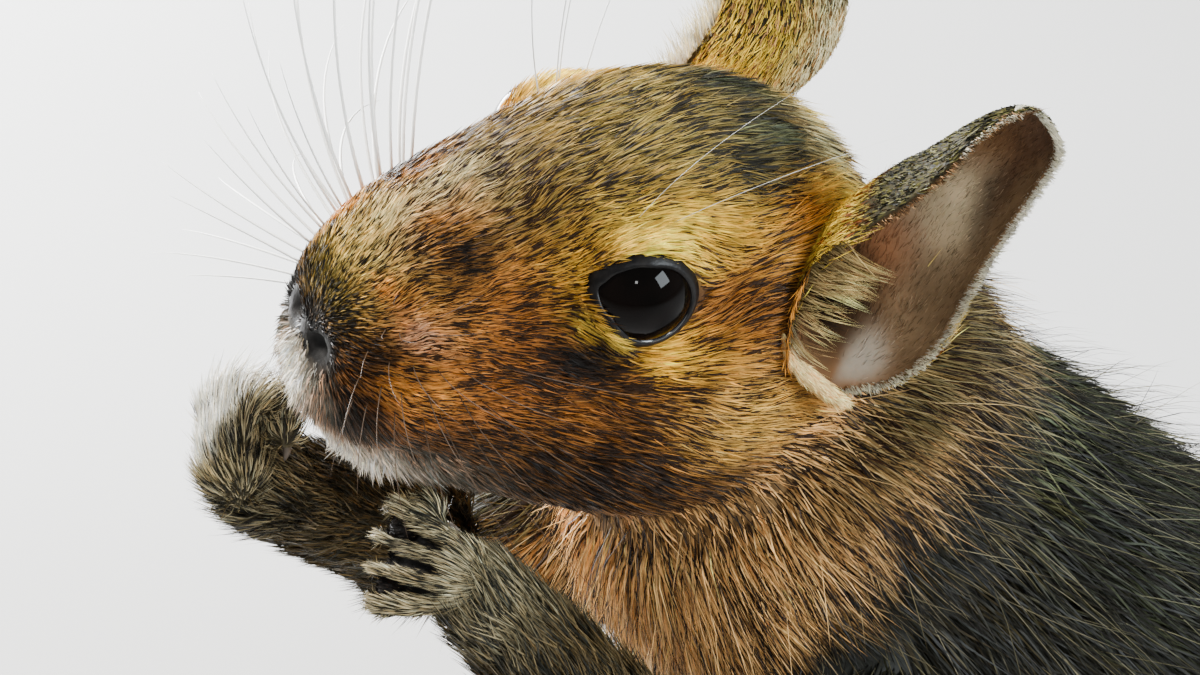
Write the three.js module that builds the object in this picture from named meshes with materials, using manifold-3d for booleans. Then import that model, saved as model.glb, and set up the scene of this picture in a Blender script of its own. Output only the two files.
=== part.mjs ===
// A degu (Octodon degus) sitting up on its haunches, its forepaws raised to its mouth, as a still,
// life-size model. Millimetres: +X is the way the body faces, +Y is the animal's left and +Z is up.
// The origin is on the floor, in the flat under the rump that the animal sits on.
import * as THREE from "three";
import { mergeVertices } from "three/addons/utils/BufferGeometryUtils.js";
import Module from "manifold-3d";

const wasm = await Module();
wasm.setup();

const LEFT = 1;
const RIGHT = -1;
const SIDES = { left: LEFT, right: RIGHT };
const QUARTER_TURN = Math.PI / 2;
const radians = THREE.MathUtils.degToRad;
const point = (x, y, z) => new THREE.Vector3(x, y, z);
const mirrored = (p, side) => point(p.x, p.y * side, p.z);

// Driving sizes

const GAP = 0.3; // between neighbouring pieces

// The trunk: the spine's line in the middle plane, with half the body's width and depth round it.
const TRUNK = [
  { at: point(-12, 0, 9.8), wide: 13, deep: 12 },
  { at: point(-4.5, 0, 13.2), wide: 22.5, deep: 19 },
  { at: point(5, 0, 21.7), wide: 27.5, deep: 25 },
  { at: point(15.5, 0, 35), wide: 27.5, deep: 26 },
  { at: point(25, 0, 49.5), wide: 24, deep: 23.5 },
  { at: point(33.5, 0, 63), wide: 20, deep: 20.5 },
  { at: point(40, 0, 75.5), wide: 17, deep: 18.3 },
  { at: point(47, 0, 87), wide: 13.5, deep: 14 },
];
const SEAT_AT = 6; // how far ahead of the spine's zero the middle of the seat's flat is
const NECK_CUT = { at: point(36, 0, 69), towards: point(0.46, 0, 0.89) };

// The head: where the middle between its eyes is, and how it is turned.
const HEAD_AT = point(54, 0, 98);
const HEAD_PITCH = radians(13.2); // nose up
const HEAD_ROLL = radians(-7.2); // left side down

// Sections across the head: x ahead of the eyes, the heights of crown and chin, and half the width.
const HEAD = [
  { x: 20.6, crown: -8.4, chin: -10.0, wide: 0.6 },
  { x: 20.2, crown: -4.9, chin: -13.4, wide: 3.4 },
  { x: 18.4, crown: -1.2, chin: -16.9, wide: 5.8 },
  { x: 15.2, crown: 2.2, chin: -19.8, wide: 7.7 },
  { x: 10.6, crown: 5.1, chin: -22.0, wide: 9.2 },
  { x: 5.0, crown: 7.6, chin: -23.6, wide: 10.8 },
  { x: -1.5, crown: 9.4, chin: -25.2, wide: 12.4 },
  { x: -9.0, crown: 9.6, chin: -25.8, wide: 13.5 },
  { x: -16.5, crown: 6.6, chin: -23.0, wide: 12.6 },
  { x: -21.5, crown: 1.8, chin: -16.0, wide: 9.2 },
  { x: -23.5, crown: -4.5, chin: -7.0, wide: 0.8 },
];
const WIDEST_SHARE = 0.42; // of the head's height, from the chin up
const CHIN_NARROWS = { from: 4, to: 16, by: 0.35 }; // over x, as an exponent
// Soft swellings (or, if negative, hollows) of the head's left side, repeated on the right.
const SWELLINGS = [
  { name: "whisker pad", at: point(15.5, 7, -8.5), reach: 4.5, lift: 0.9 },
  { name: "cheek", at: point(-5, 12.5, -14), reach: 8, lift: 1.3 },
  { name: "brow", at: point(-1, 8.5, 5.5), reach: 4.5, lift: 0.8 },
  { name: "tear trough", at: point(7.5, 9, -0.5), reach: 3.5, lift: -0.7 },
];

const EYE = { at: point(0.1, 8.35, 0), radius: 4.15, facing: point(0.26, 0.93, 0.22) };
// The lids, a shell round the eyeball: the half angle of the opening, with more at its front corner,
// the shell's thickness and the rim's.
const LID = {
  opening: radians(56),
  corner: radians(16),
  cornerAngle: radians(14),
  shell: 0.75,
  rim: 0.5,
};
const NOSTRIL = { at: point(20.0, 2.1, -9.4), radii: point(1.5, 0.9, 0.65), turn: radians(38) };
const MOUTH = {
  front: point(18.9, 0, -14.6),
  bend: point(15.6, 5.0, -16.6),
  corner: point(10.5, 8.4, -16.0),
};
const LIP_GROOVE = { deep: 1.2, high: 0.42 };

// The ears, from the lobe to the tip: front and back edge of the opening, and the cup's depth.
const EAR = {
  opens: point(0.3, 0.88, -0.36),
  thick: 0.8,
  stations: [
    { front: point(-13.8, 13.4, -6.2), back: point(-16.4, 14.4, -6.6), deep: 2 },
    { front: point(-11.5, 12.8, -3.6), back: point(-19.5, 15.9, -4.4), deep: 5 },
    { front: point(-11.8, 11.4, 2.0), back: point(-21.4, 16.4, -1.0), deep: 7 },
    { front: point(-14.0, 12.4, 7.2), back: point(-22.8, 15.6, 3.0), deep: 7.2 },
    { front: point(-14.6, 15.0, 11.9), back: point(-23.8, 15.6, 8.3), deep: 6 },
    { front: point(-15.2, 16.8, 16.2), back: point(-23.9, 16.6, 13.8), deep: 4.6 },
    { front: point(-16.8, 17.5, 19.8), back: point(-22.3, 17.6, 17.9), deep: 3 },
    { front: point(-18.4, 17.4, 21.3), back: point(-20.7, 17.8, 20.7), deep: 1.8 },
  ],
};
const CONCHA = { at: point(-15.5, 14.5, 0.5), radii: point(3.4, 4.6, 4.2) };

// The arms: the shoulder is mirrored, the rest of each side is set on its own. A hand is given
// by its wrist, the way from the wrist to the knuckles and the way that its back faces.
const SHOULDER = { at: point(29, 10.5, 61), wide: 9.5, deep: 13 };
const ARM_MIDDLE = { wide: 9, deep: 10.5 };
const ELBOW = { wide: 6, deep: 6.6 };
const FOREARM = { elbow: 5.6, middle: 5.2, wrist: 3.5 };
const ARMS = {
  left: {
    elbow: point(53, 16.5, 50),
    wrist: point(68.7, 9.1, 75.7),
    points: point(0.69, -0.72, 0.03),
    back: point(0.33, 0.71, 0.62),
  },
  right: {
    elbow: point(57.5, -16, 53),
    wrist: point(78.5, -10.6, 73.8),
    points: point(-0.08, -0.5, 0.86),
    back: point(0.88, -0.15, 0.42),
  },
};

const THIGH = [
  { at: point(0, 17, 24), wide: 12, deep: 18 },
  { at: point(14, 21.5, 25), wide: 12, deep: 20.5 },
  { at: point(28, 24.5, 26), wide: 10.5, deep: 16 },
  { at: point(39, 26, 25.5), wide: 7.5, deep: 8.5 },
];
const SHANK = [
  { at: point(33, 26, 16), wide: 6.5, deep: 8 },
  { at: point(20, 27, 9.5), wide: 6, deep: 6 },
  { at: point(6, 27.5, 6.5), wide: 4.8, deep: 5 },
];
const LEG_CLEARANCE = 0.8; // of thigh and shank over the floor
const FOOT = { heel: point(4, 27, 0), turnOut: radians(7), long: 27, halfWidth: 4.8, high: 6.4 };
const SOLE_PRESS = 0.35; // how deep the soles and the tail would sink, cut off flat

const TAIL = [
  { at: point(-8, 0, 10), wide: 7 },
  { at: point(-24, -0.5, 6.0), wide: 5.6 },
  { at: point(-42, -3, 4.2), wide: 4.6 },
  { at: point(-61, -8, 3.6), wide: 4.0 },
  { at: point(-80, -8, 3.6), wide: 4.0 },
  { at: point(-97, -1, 4.2), wide: 4.4 },
  { at: point(-108, 7, 3.2), wide: 2.2 },
];
const TAIL_CUTS = { middle: 0.36, tip: 0.66 }; // shares of the tail's length
// The bristly brush of the tail's end: flat tapered locks that lie over one another.
const BRUSH = {
  locks: 25,
  from: 0.69,
  to: 0.95,
  rootDepth: 1.3,
  long: [12, 17],
  halfWidth: 1.7,
  halfThick: 0.5,
  taper: [0.9, 1, 0.7, 0.25],
  lift: radians(13),
  firstTurn: radians(-25), // round the tail, from its side; the locks leave out its underside
  turns: radians(230),
  lowest: 0.7,
};

// Geometry helpers

// Catmull-Rom interpolation of a list of equally spaced values, t from 0 to 1.
function along(values, t) {
  const last = values.length - 1;
  const i = Math.min(Math.floor(t * last), last - 1);
  const f = t * last - i;
  const before = i > 0 ? values[i - 1] : 2 * values[0] - values[1];
  const after = i + 2 <= last ? values[i + 2] : 2 * values[last] - values[last - 1];
  const slopeIn = (values[i + 1] - before) / 2;
  const slopeOut = (after - values[i]) / 2;
  const step = values[i + 1] - values[i];
  const bend = 3 * step - 2 * slopeIn - slopeOut;
  const twist = slopeIn + slopeOut - 2 * step;
  return values[i] + f * (slopeIn + f * (bend + f * twist));
}

const alongPoints = (points, t) => point(
  along(points.map((p) => p.x), t),
  along(points.map((p) => p.y), t),
  along(points.map((p) => p.z), t),
);

function meshOf(positions, index) {
  const geometry = new THREE.BufferGeometry();
  geometry.setAttribute("position", new THREE.Float32BufferAttribute(positions, 3));
  geometry.setIndex(index);
  return geometry;
}

// A closed surface over rings of points of equal count, each end closed by a fan.
function overRings(rings) {
  const sides = rings[0].length;
  const positions = rings.flatMap((ring) => ring.flatMap((p) => [p.x, p.y, p.z]));
  const index = [];
  for (let r = 0; r + 1 < rings.length; r++) {
    for (let s = 0; s < sides; s++) {
      const a = r * sides + s;
      const b = r * sides + ((s + 1) % sides);
      index.push(a, b, b + sides, a, b + sides, a + sides);
    }
  }
  [rings[0], rings.at(-1)].forEach((ring, end) => {
    const middle = ring.reduce((sum, p) => sum.add(p), point(0, 0, 0)).divideScalar(sides);
    const pole = positions.push(middle.x, middle.y, middle.z) / 3 - 1;
    const start = end * (rings.length - 1) * sides;
    for (let s = 0; s < sides; s++) {
      const a = start + s;
      const b = start + ((s + 1) % sides);
      index.push(...(end ? [a, b, pole] : [b, a, pole]));
    }
  });
  return meshOf(positions, index);
}

// A closed shell between two grids of points of the same size, joined along all four edges.
function between(outer, inner) {
  const rows = outer.length;
  const columns = outer[0].length;
  const positions = [...outer.flat(), ...inner.flat()].flatMap((p) => [p.x, p.y, p.z]);
  const index = [];
  const quad = (a, b, c, d) => index.push(a, b, c, a, c, d);
  const at = (r, c) => r * columns + c;
  const under = rows * columns;
  const lastRow = rows - 1;
  const lastColumn = columns - 1;
  for (let r = 0; r < lastRow; r++) {
    for (let c = 0; c < lastColumn; c++) {
      quad(at(r, c), at(r, c + 1), at(r + 1, c + 1), at(r + 1, c));
      quad(under + at(r, c), under + at(r + 1, c), under + at(r + 1, c + 1), under + at(r, c + 1));
    }
    quad(at(r, 0), at(r + 1, 0), under + at(r + 1, 0), under + at(r, 0));
    quad(at(r + 1, lastColumn), at(r, lastColumn), under + at(r, lastColumn), under + at(r + 1, lastColumn));
  }
  for (let c = 0; c < lastColumn; c++) {
    quad(at(0, c + 1), at(0, c), under + at(0, c), under + at(0, c + 1));
    quad(at(lastRow, c), at(lastRow, c + 1), under + at(lastRow, c + 1), under + at(lastRow, c));
  }
  return meshOf(positions, index);
}

// A tapered tube with round ends along a curve: stations give the points, half width and half depth.
function limb(stations, { sides = 12, steps = 10, capRings = 3, across = point(0, 1, 0) } = {}) {
  const path = new THREE.CatmullRomCurve3(stations.map((s) => s.at), false, "centripetal");
  const wide = stations.map((s) => s.wide);
  const deep = stations.map((s) => s.deep ?? s.wide);
  const length = path.getLength();
  const [startCap, endCap] = [wide.at(0), wide.at(-1)].map((w) => Math.min(w / length, 0.45));
  const rounding = Array.from({ length: capRings }, (_, k) => ((k + 0.5) / capRings) * QUARTER_TURN);
  const middles = Array.from({ length: steps + 1 }, (_, k) => k / steps);
  const spots = [
    ...rounding.map((a) => ({ t: startCap * (1 - Math.cos(a)), share: Math.sin(a) })),
    ...middles.map((m) => ({ t: startCap + (1 - startCap - endCap) * m, share: 1 })),
    ...rounding.map((a) => ({ t: 1 - endCap * (1 - Math.cos(a)), share: Math.sin(a) })).reverse(),
  ];
  return overRings(spots.map(({ t, share }) => {
    const middle = path.getPointAt(t);
    const ahead = path.getTangentAt(t);
    const depth = ahead.clone().cross(across).normalize();
    const width = depth.clone().cross(ahead).normalize();
    const u = path.getUtoTmapping(t);
    const w = along(wide, u) * share;
    const d = along(deep, u) * share;
    return Array.from({ length: sides }, (_, s) => {
      const angle = ((s + 0.5) / sides) * 2 * Math.PI;
      return middle.clone()
        .addScaledVector(width, w * Math.cos(angle))
        .addScaledVector(depth, d * Math.sin(angle));
    });
  }));
}

// The same closed surface moved outward along its normals by the gap and a little.
function grown(geometry, by = GAP * 1.06) {
  const bare = geometry.clone();
  bare.deleteAttribute("normal");
  bare.deleteAttribute("uv");
  const merged = mergeVertices(bare, 1e-4);
  merged.computeVertexNormals();
  const { position, normal } = merged.attributes;
  const outward = solid(merged, true) ? 1 : -1;
  for (let i = 0; i < position.count; i++) {
    const p = new THREE.Vector3().fromBufferAttribute(position, i);
    const n = new THREE.Vector3().fromBufferAttribute(normal, i);
    p.addScaledVector(n, by * outward);
    position.setXYZ(i, p.x, p.y, p.z);
  }
  return merged;
}

// The matrix that puts local +X along a direction and local +Z as near as it can to another.
function placed(at, xAxis, zHint) {
  const x = xAxis.clone().normalize();
  const y = zHint.clone().cross(x).normalize();
  const z = x.clone().cross(y);
  return new THREE.Matrix4().makeBasis(x, y, z).setPosition(at);
}

// A closed geometry as a manifold-3d solid with its faces turned outward, or whether they are so.
function solid(geometry, onlyAsk = false) {
  const bare = geometry.clone();
  bare.deleteAttribute("normal");
  bare.deleteAttribute("uv");
  const merged = mergeVertices(bare, 1e-4);
  const triVerts = new Uint32Array(merged.index.array);
  const vertProperties = new Float32Array(merged.attributes.position.array);
  const made = new wasm.Manifold(new wasm.Mesh({ numProp: 3, vertProperties, triVerts }));
  if (onlyAsk) return made.volume() > 0;
  if (made.volume() > 0) return made;
  for (let i = 0; i < triVerts.length; i += 3) {
    [triVerts[i + 1], triVerts[i + 2]] = [triVerts[i + 2], triVerts[i + 1]];
  }
  return new wasm.Manifold(new wasm.Mesh({ numProp: 3, vertProperties, triVerts }));
}

function geometryOf(made) {
  const { numProp, vertProperties, triVerts } = made.getMesh();
  const positions = [];
  for (let i = 0; i < vertProperties.length; i += numProp) {
    positions.push(vertProperties[i], vertProperties[i + 1], vertProperties[i + 2]);
  }
  return meshOf(positions, Array.from(triVerts));
}

// The largest closed body of a solid, so that no sealed hollow or loose scrap stays.
function largest(made) {
  return made.decompose().reduce((a, b) => (a.volume() > b.volume() ? a : b));
}

// Repeatable random numbers from 0 to 1, by a linear congruence of 32 bits.
const CONGRUENCE = { factor: 1664525, step: 1013904223, modulus: 2 ** 32 };
function randomFrom(seed) {
  let state = seed;
  return () => {
    state = (state * CONGRUENCE.factor + CONGRUENCE.step) % CONGRUENCE.modulus;
    return state / CONGRUENCE.modulus;
  };
}

const joined = (...parts) => parts.reduce((a, b) => a.add(b));
const without = (made, ...cutters) => cutters.reduce((a, b) => a.subtract(b), made);
const moved = (made, matrix) => solid(geometryOf(made).applyMatrix4(matrix));

const FLOOR_BLOCK = 600;
const floorUpTo = (height) => solid(
  new THREE.BoxGeometry(FLOOR_BLOCK, FLOOR_BLOCK, FLOOR_BLOCK).translate(0, 0, height - FLOOR_BLOCK / 2),
);

// The head in its own frame: origin between the eyes, +X to the nose and +Z to the crown

function headForm({ shrink = 0, rings = 25, sides = 30 } = {}) {
  const list = (key) => HEAD.map((s) => s[key]);
  const sections = [];
  for (let r = 0; r <= rings; r++) {
    const t = r / rings;
    const x = along(list("x"), t);
    const crown = along(list("crown"), t);
    const chin = along(list("chin"), t);
    const wide = along(list("wide"), t);
    const widest = chin + (crown - chin) * WIDEST_SHARE;
    const middle = point(x, 0, widest);
    const chinNarrows = CHIN_NARROWS.by * THREE.MathUtils.smoothstep(x, CHIN_NARROWS.from, CHIN_NARROWS.to);
    sections.push(Array.from({ length: sides }, (_, s) => {
      const angle = ((s + 0.5) / sides) * 2 * Math.PI;
      const up = Math.sin(angle);
      const power = 0.85 + (up < 0 ? chinNarrows : 0);
      const out = Math.sign(Math.cos(angle)) * Math.abs(Math.cos(angle)) ** power;
      const p = point(x, wide * out, widest + (up > 0 ? crown - widest : widest - chin) * up);
      const outward = p.clone().sub(middle).normalize();
      const lift = SWELLINGS.reduce((sum, swelling) => {
        const away = mirrored(p, Math.sign(p.y)).distanceTo(swelling.at) / swelling.reach;
        return sum + swelling.lift * Math.exp(-away * away);
      }, 0);
      return p.addScaledVector(outward, lift);
    }));
  }
  const form = overRings(sections);
  return shrink ? grown(form, -shrink) : form;
}

const eyeball = (side, radius) => solid(
  new THREE.SphereGeometry(radius, 14, 10).translate(EYE.at.x, EYE.at.y * side, EYE.at.z),
);

// The lids: a shell over the eyeball with a raised rim round the opening, which has a front corner.
function lids(side) {
  const centre = mirrored(EYE.at, side);
  const facing = mirrored(EYE.facing, side).normalize();
  const forward = point(1, 0, 0).addScaledVector(facing, -facing.x).normalize();
  const upward = point(0, 0, 1).addScaledVector(facing, -facing.z);
  upward.addScaledVector(forward, -upward.dot(forward)).normalize();
  const stops = 20;
  const ways = Array.from({ length: stops }, (_, k) => {
    const angle = (k / stops) * 2 * Math.PI;
    const turn = angle - LID.cornerAngle;
    const fromCorner = Math.atan2(Math.sin(turn), Math.cos(turn));
    const open = LID.opening + LID.corner * Math.exp(-((fromCorner / 0.42) ** 2));
    return facing.clone().multiplyScalar(Math.cos(open))
      .addScaledVector(forward, Math.sin(open) * Math.cos(angle))
      .addScaledVector(upward, Math.sin(open) * Math.sin(angle));
  });
  const loopAt = (distance) => ways.map((way) => centre.clone().addScaledVector(way, distance));
  const outside = EYE.radius + GAP + LID.shell;
  const opening = solid(overRings([loopAt(0.1), loopAt(2 * outside)]));
  const edge = new THREE.CatmullRomCurve3(loopAt(outside - LID.rim), true);
  const rim = new THREE.TubeGeometry(edge, 22, LID.rim, 5, true);
  return joined(without(eyeball(side, outside), opening), solid(rim));
}

function nostril(side) {
  const { at, radii, turn } = NOSTRIL;
  return solid(new THREE.SphereGeometry(1, 8, 6)
    .scale(radii.x, radii.y, radii.z)
    .applyMatrix4(new THREE.Matrix4().makeRotationZ(-side * turn))
    .translate(at.x, at.y * side, at.z));
}

// The line of the mouth and the cleft under the nose, cut into the surface to the groove's depth.
function mouthCut() {
  const { front, bend, corner } = MOUTH;
  const stops = [corner, bend, front, mirrored(bend, RIGHT), mirrored(corner, RIGHT)];
  const stations = stops.map((at) => ({ at, wide: LIP_GROOVE.high, deep: 4.5 }));
  const ribbon = limb(stations, { sides: 6, steps: 14, capRings: 1, across: point(0, 0, 1) });
  const cleftHeight = NOSTRIL.at.z - front.z;
  const cleft = new THREE.BoxGeometry(6, 2 * LIP_GROOVE.high, cleftHeight)
    .translate(front.x, 0, front.z + cleftHeight / 2);
  const core = solid(headForm({ shrink: LIP_GROOVE.deep, rings: 24, sides: 24 }));
  return without(joined(solid(ribbon), solid(cleft)), core);
}

// The grids of an ear's outer and inner face, or of its outer face and the plane of its opening.
function ear(side, filled = false) {
  const rows = 11;
  const columns = 10;
  const inward = mirrored(EAR.opens, side).normalize().negate();
  const row = (v, face) => {
    const front = mirrored(alongPoints(EAR.stations.map((s) => s.front), v), side);
    const back = mirrored(alongPoints(EAR.stations.map((s) => s.back), v), side);
    const middle = front.clone().add(back).multiplyScalar(0.5);
    const half = front.clone().sub(back).multiplyScalar(0.5);
    const deep = along(EAR.stations.map((s) => s.deep), v);
    const width = half.length();
    const inner = Math.max(width - EAR.thick, width * 0.4) / width;
    return Array.from({ length: columns }, (_, c) => {
      const angle = (c / (columns - 1)) * Math.PI;
      const p = middle.clone().addScaledVector(half, Math.cos(angle) * (face === "inner" ? inner : 1));
      const depth = { outer: deep, inner: Math.max(deep - EAR.thick, deep * 0.4), opening: 0 }[face];
      return p.addScaledVector(inward, depth * Math.sin(angle));
    });
  };
  const grid = (face) => Array.from({ length: rows }, (_, r) => row(r / (rows - 1), face));
  if (!filled) return solid(between(grid("outer"), grid("inner")));
  return solid(grown(between(grid("outer"), grid("opening").map((line) => line.map(
    (p) => p.addScaledVector(inward, -0.2),
  )))));
}

function concha(side) {
  const { at, radii } = CONCHA;
  return solid(new THREE.SphereGeometry(1, 10, 7)
    .scale(radii.x, radii.y, radii.z)
    .translate(at.x, at.y * side, at.z));
}

// A digit's bones, from its root: share of its length and of its whole bend.
const DIGIT_BONES = [
  { share: 0.44, bend: 0.12 },
  { share: 0.31, bend: 0.5 },
  { share: 0.25, bend: 0.38 },
];
const DIGIT_SHAPE = [1.15, 1.1, 1.0, 0.72]; // its width at the joints, as shares of its fatness
const DIGIT_RISE = 0.15; // how it slopes up as it leaves the hand or foot, in radians

// A finger or toe: a bent, tapered tube that ends in a claw.
function digit(root, long, fat, heading, bendBy, claw) {
  const stops = [root.clone()];
  let slope = DIGIT_RISE;
  for (const { share, bend } of DIGIT_BONES) {
    slope -= bendBy * bend;
    const level = Math.cos(slope);
    const step = point(level * Math.cos(heading), level * Math.sin(heading), Math.sin(slope));
    stops.push(stops.at(-1).clone().addScaledVector(step, long * share));
  }
  const joints = stops.map((at, i) => ({ at, wide: fat * DIGIT_SHAPE[i] }));
  const flesh = limb(joints, { sides: 6, steps: 2, capRings: 1 });
  const tip = stops.at(-1);
  const ahead = tip.clone().sub(stops.at(-2)).normalize();
  const nail = [
    { at: tip.clone().addScaledVector(ahead, -0.6), wide: 0.45 * fat },
    { at: tip.clone().addScaledVector(ahead, claw * 0.5).add(point(0, 0, 0.1)), wide: 0.36 * fat },
    { at: tip.clone().addScaledVector(ahead, claw).add(point(0, 0, -0.2 * claw)), wide: 0.14 * fat },
  ];
  return joined(solid(flesh), solid(limb(nail, { sides: 4, steps: 1, capRings: 1 })));
}

// A forepaw in its own frame: the wrist at the origin, +X to the knuckles, +Z out of its back

const PALM = { long: 4.8, halfWidth: 3.5, halfThick: 2.1 };
const FINGERS = [
  { across: 0.76, long: 9.2, fat: 1.15 },
  { across: 0.26, long: 10.4, fat: 1.25 },
  { across: -0.26, long: 10.2, fat: 1.25 },
  { across: -0.76, long: 8.8, fat: 1.15 },
];
const FINGER_CURL = 2.5;

function forepaw(side) {
  const { long, halfWidth, halfThick } = PALM;
  const palm = limb([
    { at: point(-1.5, 0, -0.2), wide: 3.0, deep: 2.7 },
    { at: point(long * 0.5, 0, 0), wide: halfWidth * 0.95, deep: halfThick * 1.15 },
    { at: point(long + 0.8, 0, -0.3), wide: halfWidth * 0.94, deep: halfThick * 0.85 },
  ], { sides: 10, steps: 3, capRings: 2 });
  const fingers = FINGERS.map(({ across, long: reach, fat }) => {
    const root = point(long - 2.6, -side * across * halfWidth, -0.1);
    return digit(root, reach, fat, -side * across * 0.16, FINGER_CURL, 1.5);
  });
  const thumb = digit(point(2.2, -side * halfWidth * 0.8, -0.8), 3.0, 0.9, -side * 0.7, 0.9, 0.6);
  return joined(solid(palm), ...fingers, thumb);
}

// A hind foot in its own frame: the heel at the origin on the floor, +X to the toes

const TOES = [
  { across: 0.9, long: 7.8, fat: 1.35, from: 0.76 },
  { across: 0.47, long: 9.4, fat: 1.5, from: 0.86 },
  { across: 0.0, long: 10.2, fat: 1.55, from: 0.89 },
  { across: -0.47, long: 9.6, fat: 1.5, from: 0.87 },
  { across: -0.88, long: 6.6, fat: 1.25, from: 0.66 },
];

function hindfoot(side) {
  const { long, halfWidth, high } = FOOT;
  const sole = limb([
    { at: point(0, 0, high * 0.52 - SOLE_PRESS), wide: 3.4, deep: high * 0.52 },
    { at: point(long * 0.45, 0, high * 0.48 - SOLE_PRESS), wide: halfWidth * 0.86, deep: high * 0.48 },
    { at: point(long, 0, high * 0.38 - SOLE_PRESS), wide: halfWidth, deep: high * 0.38 },
  ], { sides: 12, steps: 4, capRings: 2 });
  const toes = TOES.map(({ across, long: reach, fat, from }) => {
    const root = point(long * from, side * across * halfWidth * 0.86, fat);
    return digit(root, reach, fat, side * across * 0.22, 0.24, 2.2);
  });
  return without(joined(solid(sole), ...toes), floorUpTo(0));
}

// The locks of the tail's brush, each with its root inside the tail

function brushLocks(path) {
  const random = randomFrom(7);
  const wide = TAIL.map((s) => s.wide);
  const goldenAngle = Math.PI * (3 - Math.sqrt(5));
  return Array.from({ length: BRUSH.locks }, (_, k) => {
    const share = BRUSH.from + (BRUSH.to - BRUSH.from) * ((k + random()) / BRUSH.locks);
    const ahead = path.getTangentAt(share);
    const side = point(0, 0, 1).cross(ahead).normalize();
    const up = ahead.clone().cross(side);
    const turn = BRUSH.firstTurn + ((k * goldenAngle) % Math.PI) / Math.PI * BRUSH.turns;
    const outward = side.clone().multiplyScalar(Math.cos(turn)).addScaledVector(up, Math.sin(turn));
    const radius = along(wide, path.getUtoTmapping(share));
    const root = path.getPointAt(share).addScaledVector(outward, radius - BRUSH.rootDepth);
    const long = THREE.MathUtils.lerp(...BRUSH.long, random());
    const lift = BRUSH.lift * (0.7 + 0.6 * random());
    const stations = [0, 0.4, 0.75, 1].map((reach, i, reaches) => {
      const fallen = lift * (1 - 0.5 * reach);
      const at = root.clone()
        .addScaledVector(ahead, long * reach * Math.cos(fallen))
        .addScaledVector(outward, long * reach * Math.sin(fallen));
      at.z = Math.max(at.z, BRUSH.lowest);
      const isTip = i === reaches.length - 1;
      return { at, wide: BRUSH.halfWidth * BRUSH.taper[i], deep: BRUSH.halfThick * (isTip ? 0.5 : 1) };
    });
    const across = ahead.clone().cross(outward);
    return solid(limb(stations, { sides: 4, steps: 1, capRings: 1, across }));
  });
}

// The whole animal

const FUR = 0x7d6238;
const CREAM = 0xb9a57c;
const PAW_GREY = 0x9a9284;
const DARK = 0x2c251d;
const EYE_BLACK = 0x060505;
const EAR_SKIN = 0x6f5a50;

const degu = new THREE.Group();
const headGroup = new THREE.Group();
headGroup.position.copy(HEAD_AT);
headGroup.rotation.set(HEAD_ROLL, -HEAD_PITCH, 0, "ZYX");
headGroup.updateMatrix();
degu.add(headGroup);

function addNode(parent, name, made, colour, roughness = 0.85) {
  const material = new THREE.MeshStandardMaterial({ color: colour, roughness, metalness: 0 });
  const mesh = new THREE.Mesh(geometryOf(largest(made)), material);
  mesh.name = name;
  parent.add(mesh);
}

// The parts on each side of a plane, a gap apart.
function parted(made, at, towards) {
  const way = towards.clone().normalize();
  const level = at.dot(way);
  return {
    beyond: made.trimByPlane(way.toArray(), level + GAP / 2),
    before: made.trimByPlane(way.clone().negate().toArray(), -(level - GAP / 2)),
  };
}

const bothSides = (make) => Object.values(SIDES).map(make);
const headGrown = solid(grown(headForm()));
const head = without(
  joined(solid(headForm()), ...bothSides(lids)),
  ...bothSides((side) => eyeball(side, EYE.radius + GAP * 1.06)),
  ...bothSides(nostril),
  ...bothSides(concha),
  mouthCut(),
);
addNode(headGroup, "head", head, FUR);
for (const [name, side] of Object.entries(SIDES)) {
  addNode(headGroup, `eye_${name}`, eyeball(side, EYE.radius), EYE_BLACK, 0.05);
  addNode(headGroup, `ear_${name}`, without(ear(side), headGrown), EAR_SKIN);
}

const headSpace = moved(joined(headGrown, ...bothSides((side) => ear(side, true))), headGroup.matrix);
const trunkForm = limb(TRUNK, { sides: 28, steps: 20, capRings: 3 });
const trunkGrown = solid(grown(trunkForm));
const trunk = parted(without(solid(trunkForm), headSpace, floorUpTo(0)), NECK_CUT.at, NECK_CUT.towards);
addNode(degu, "neck", trunk.beyond, FUR);
addNode(degu, "torso", trunk.before, FUR);

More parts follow.
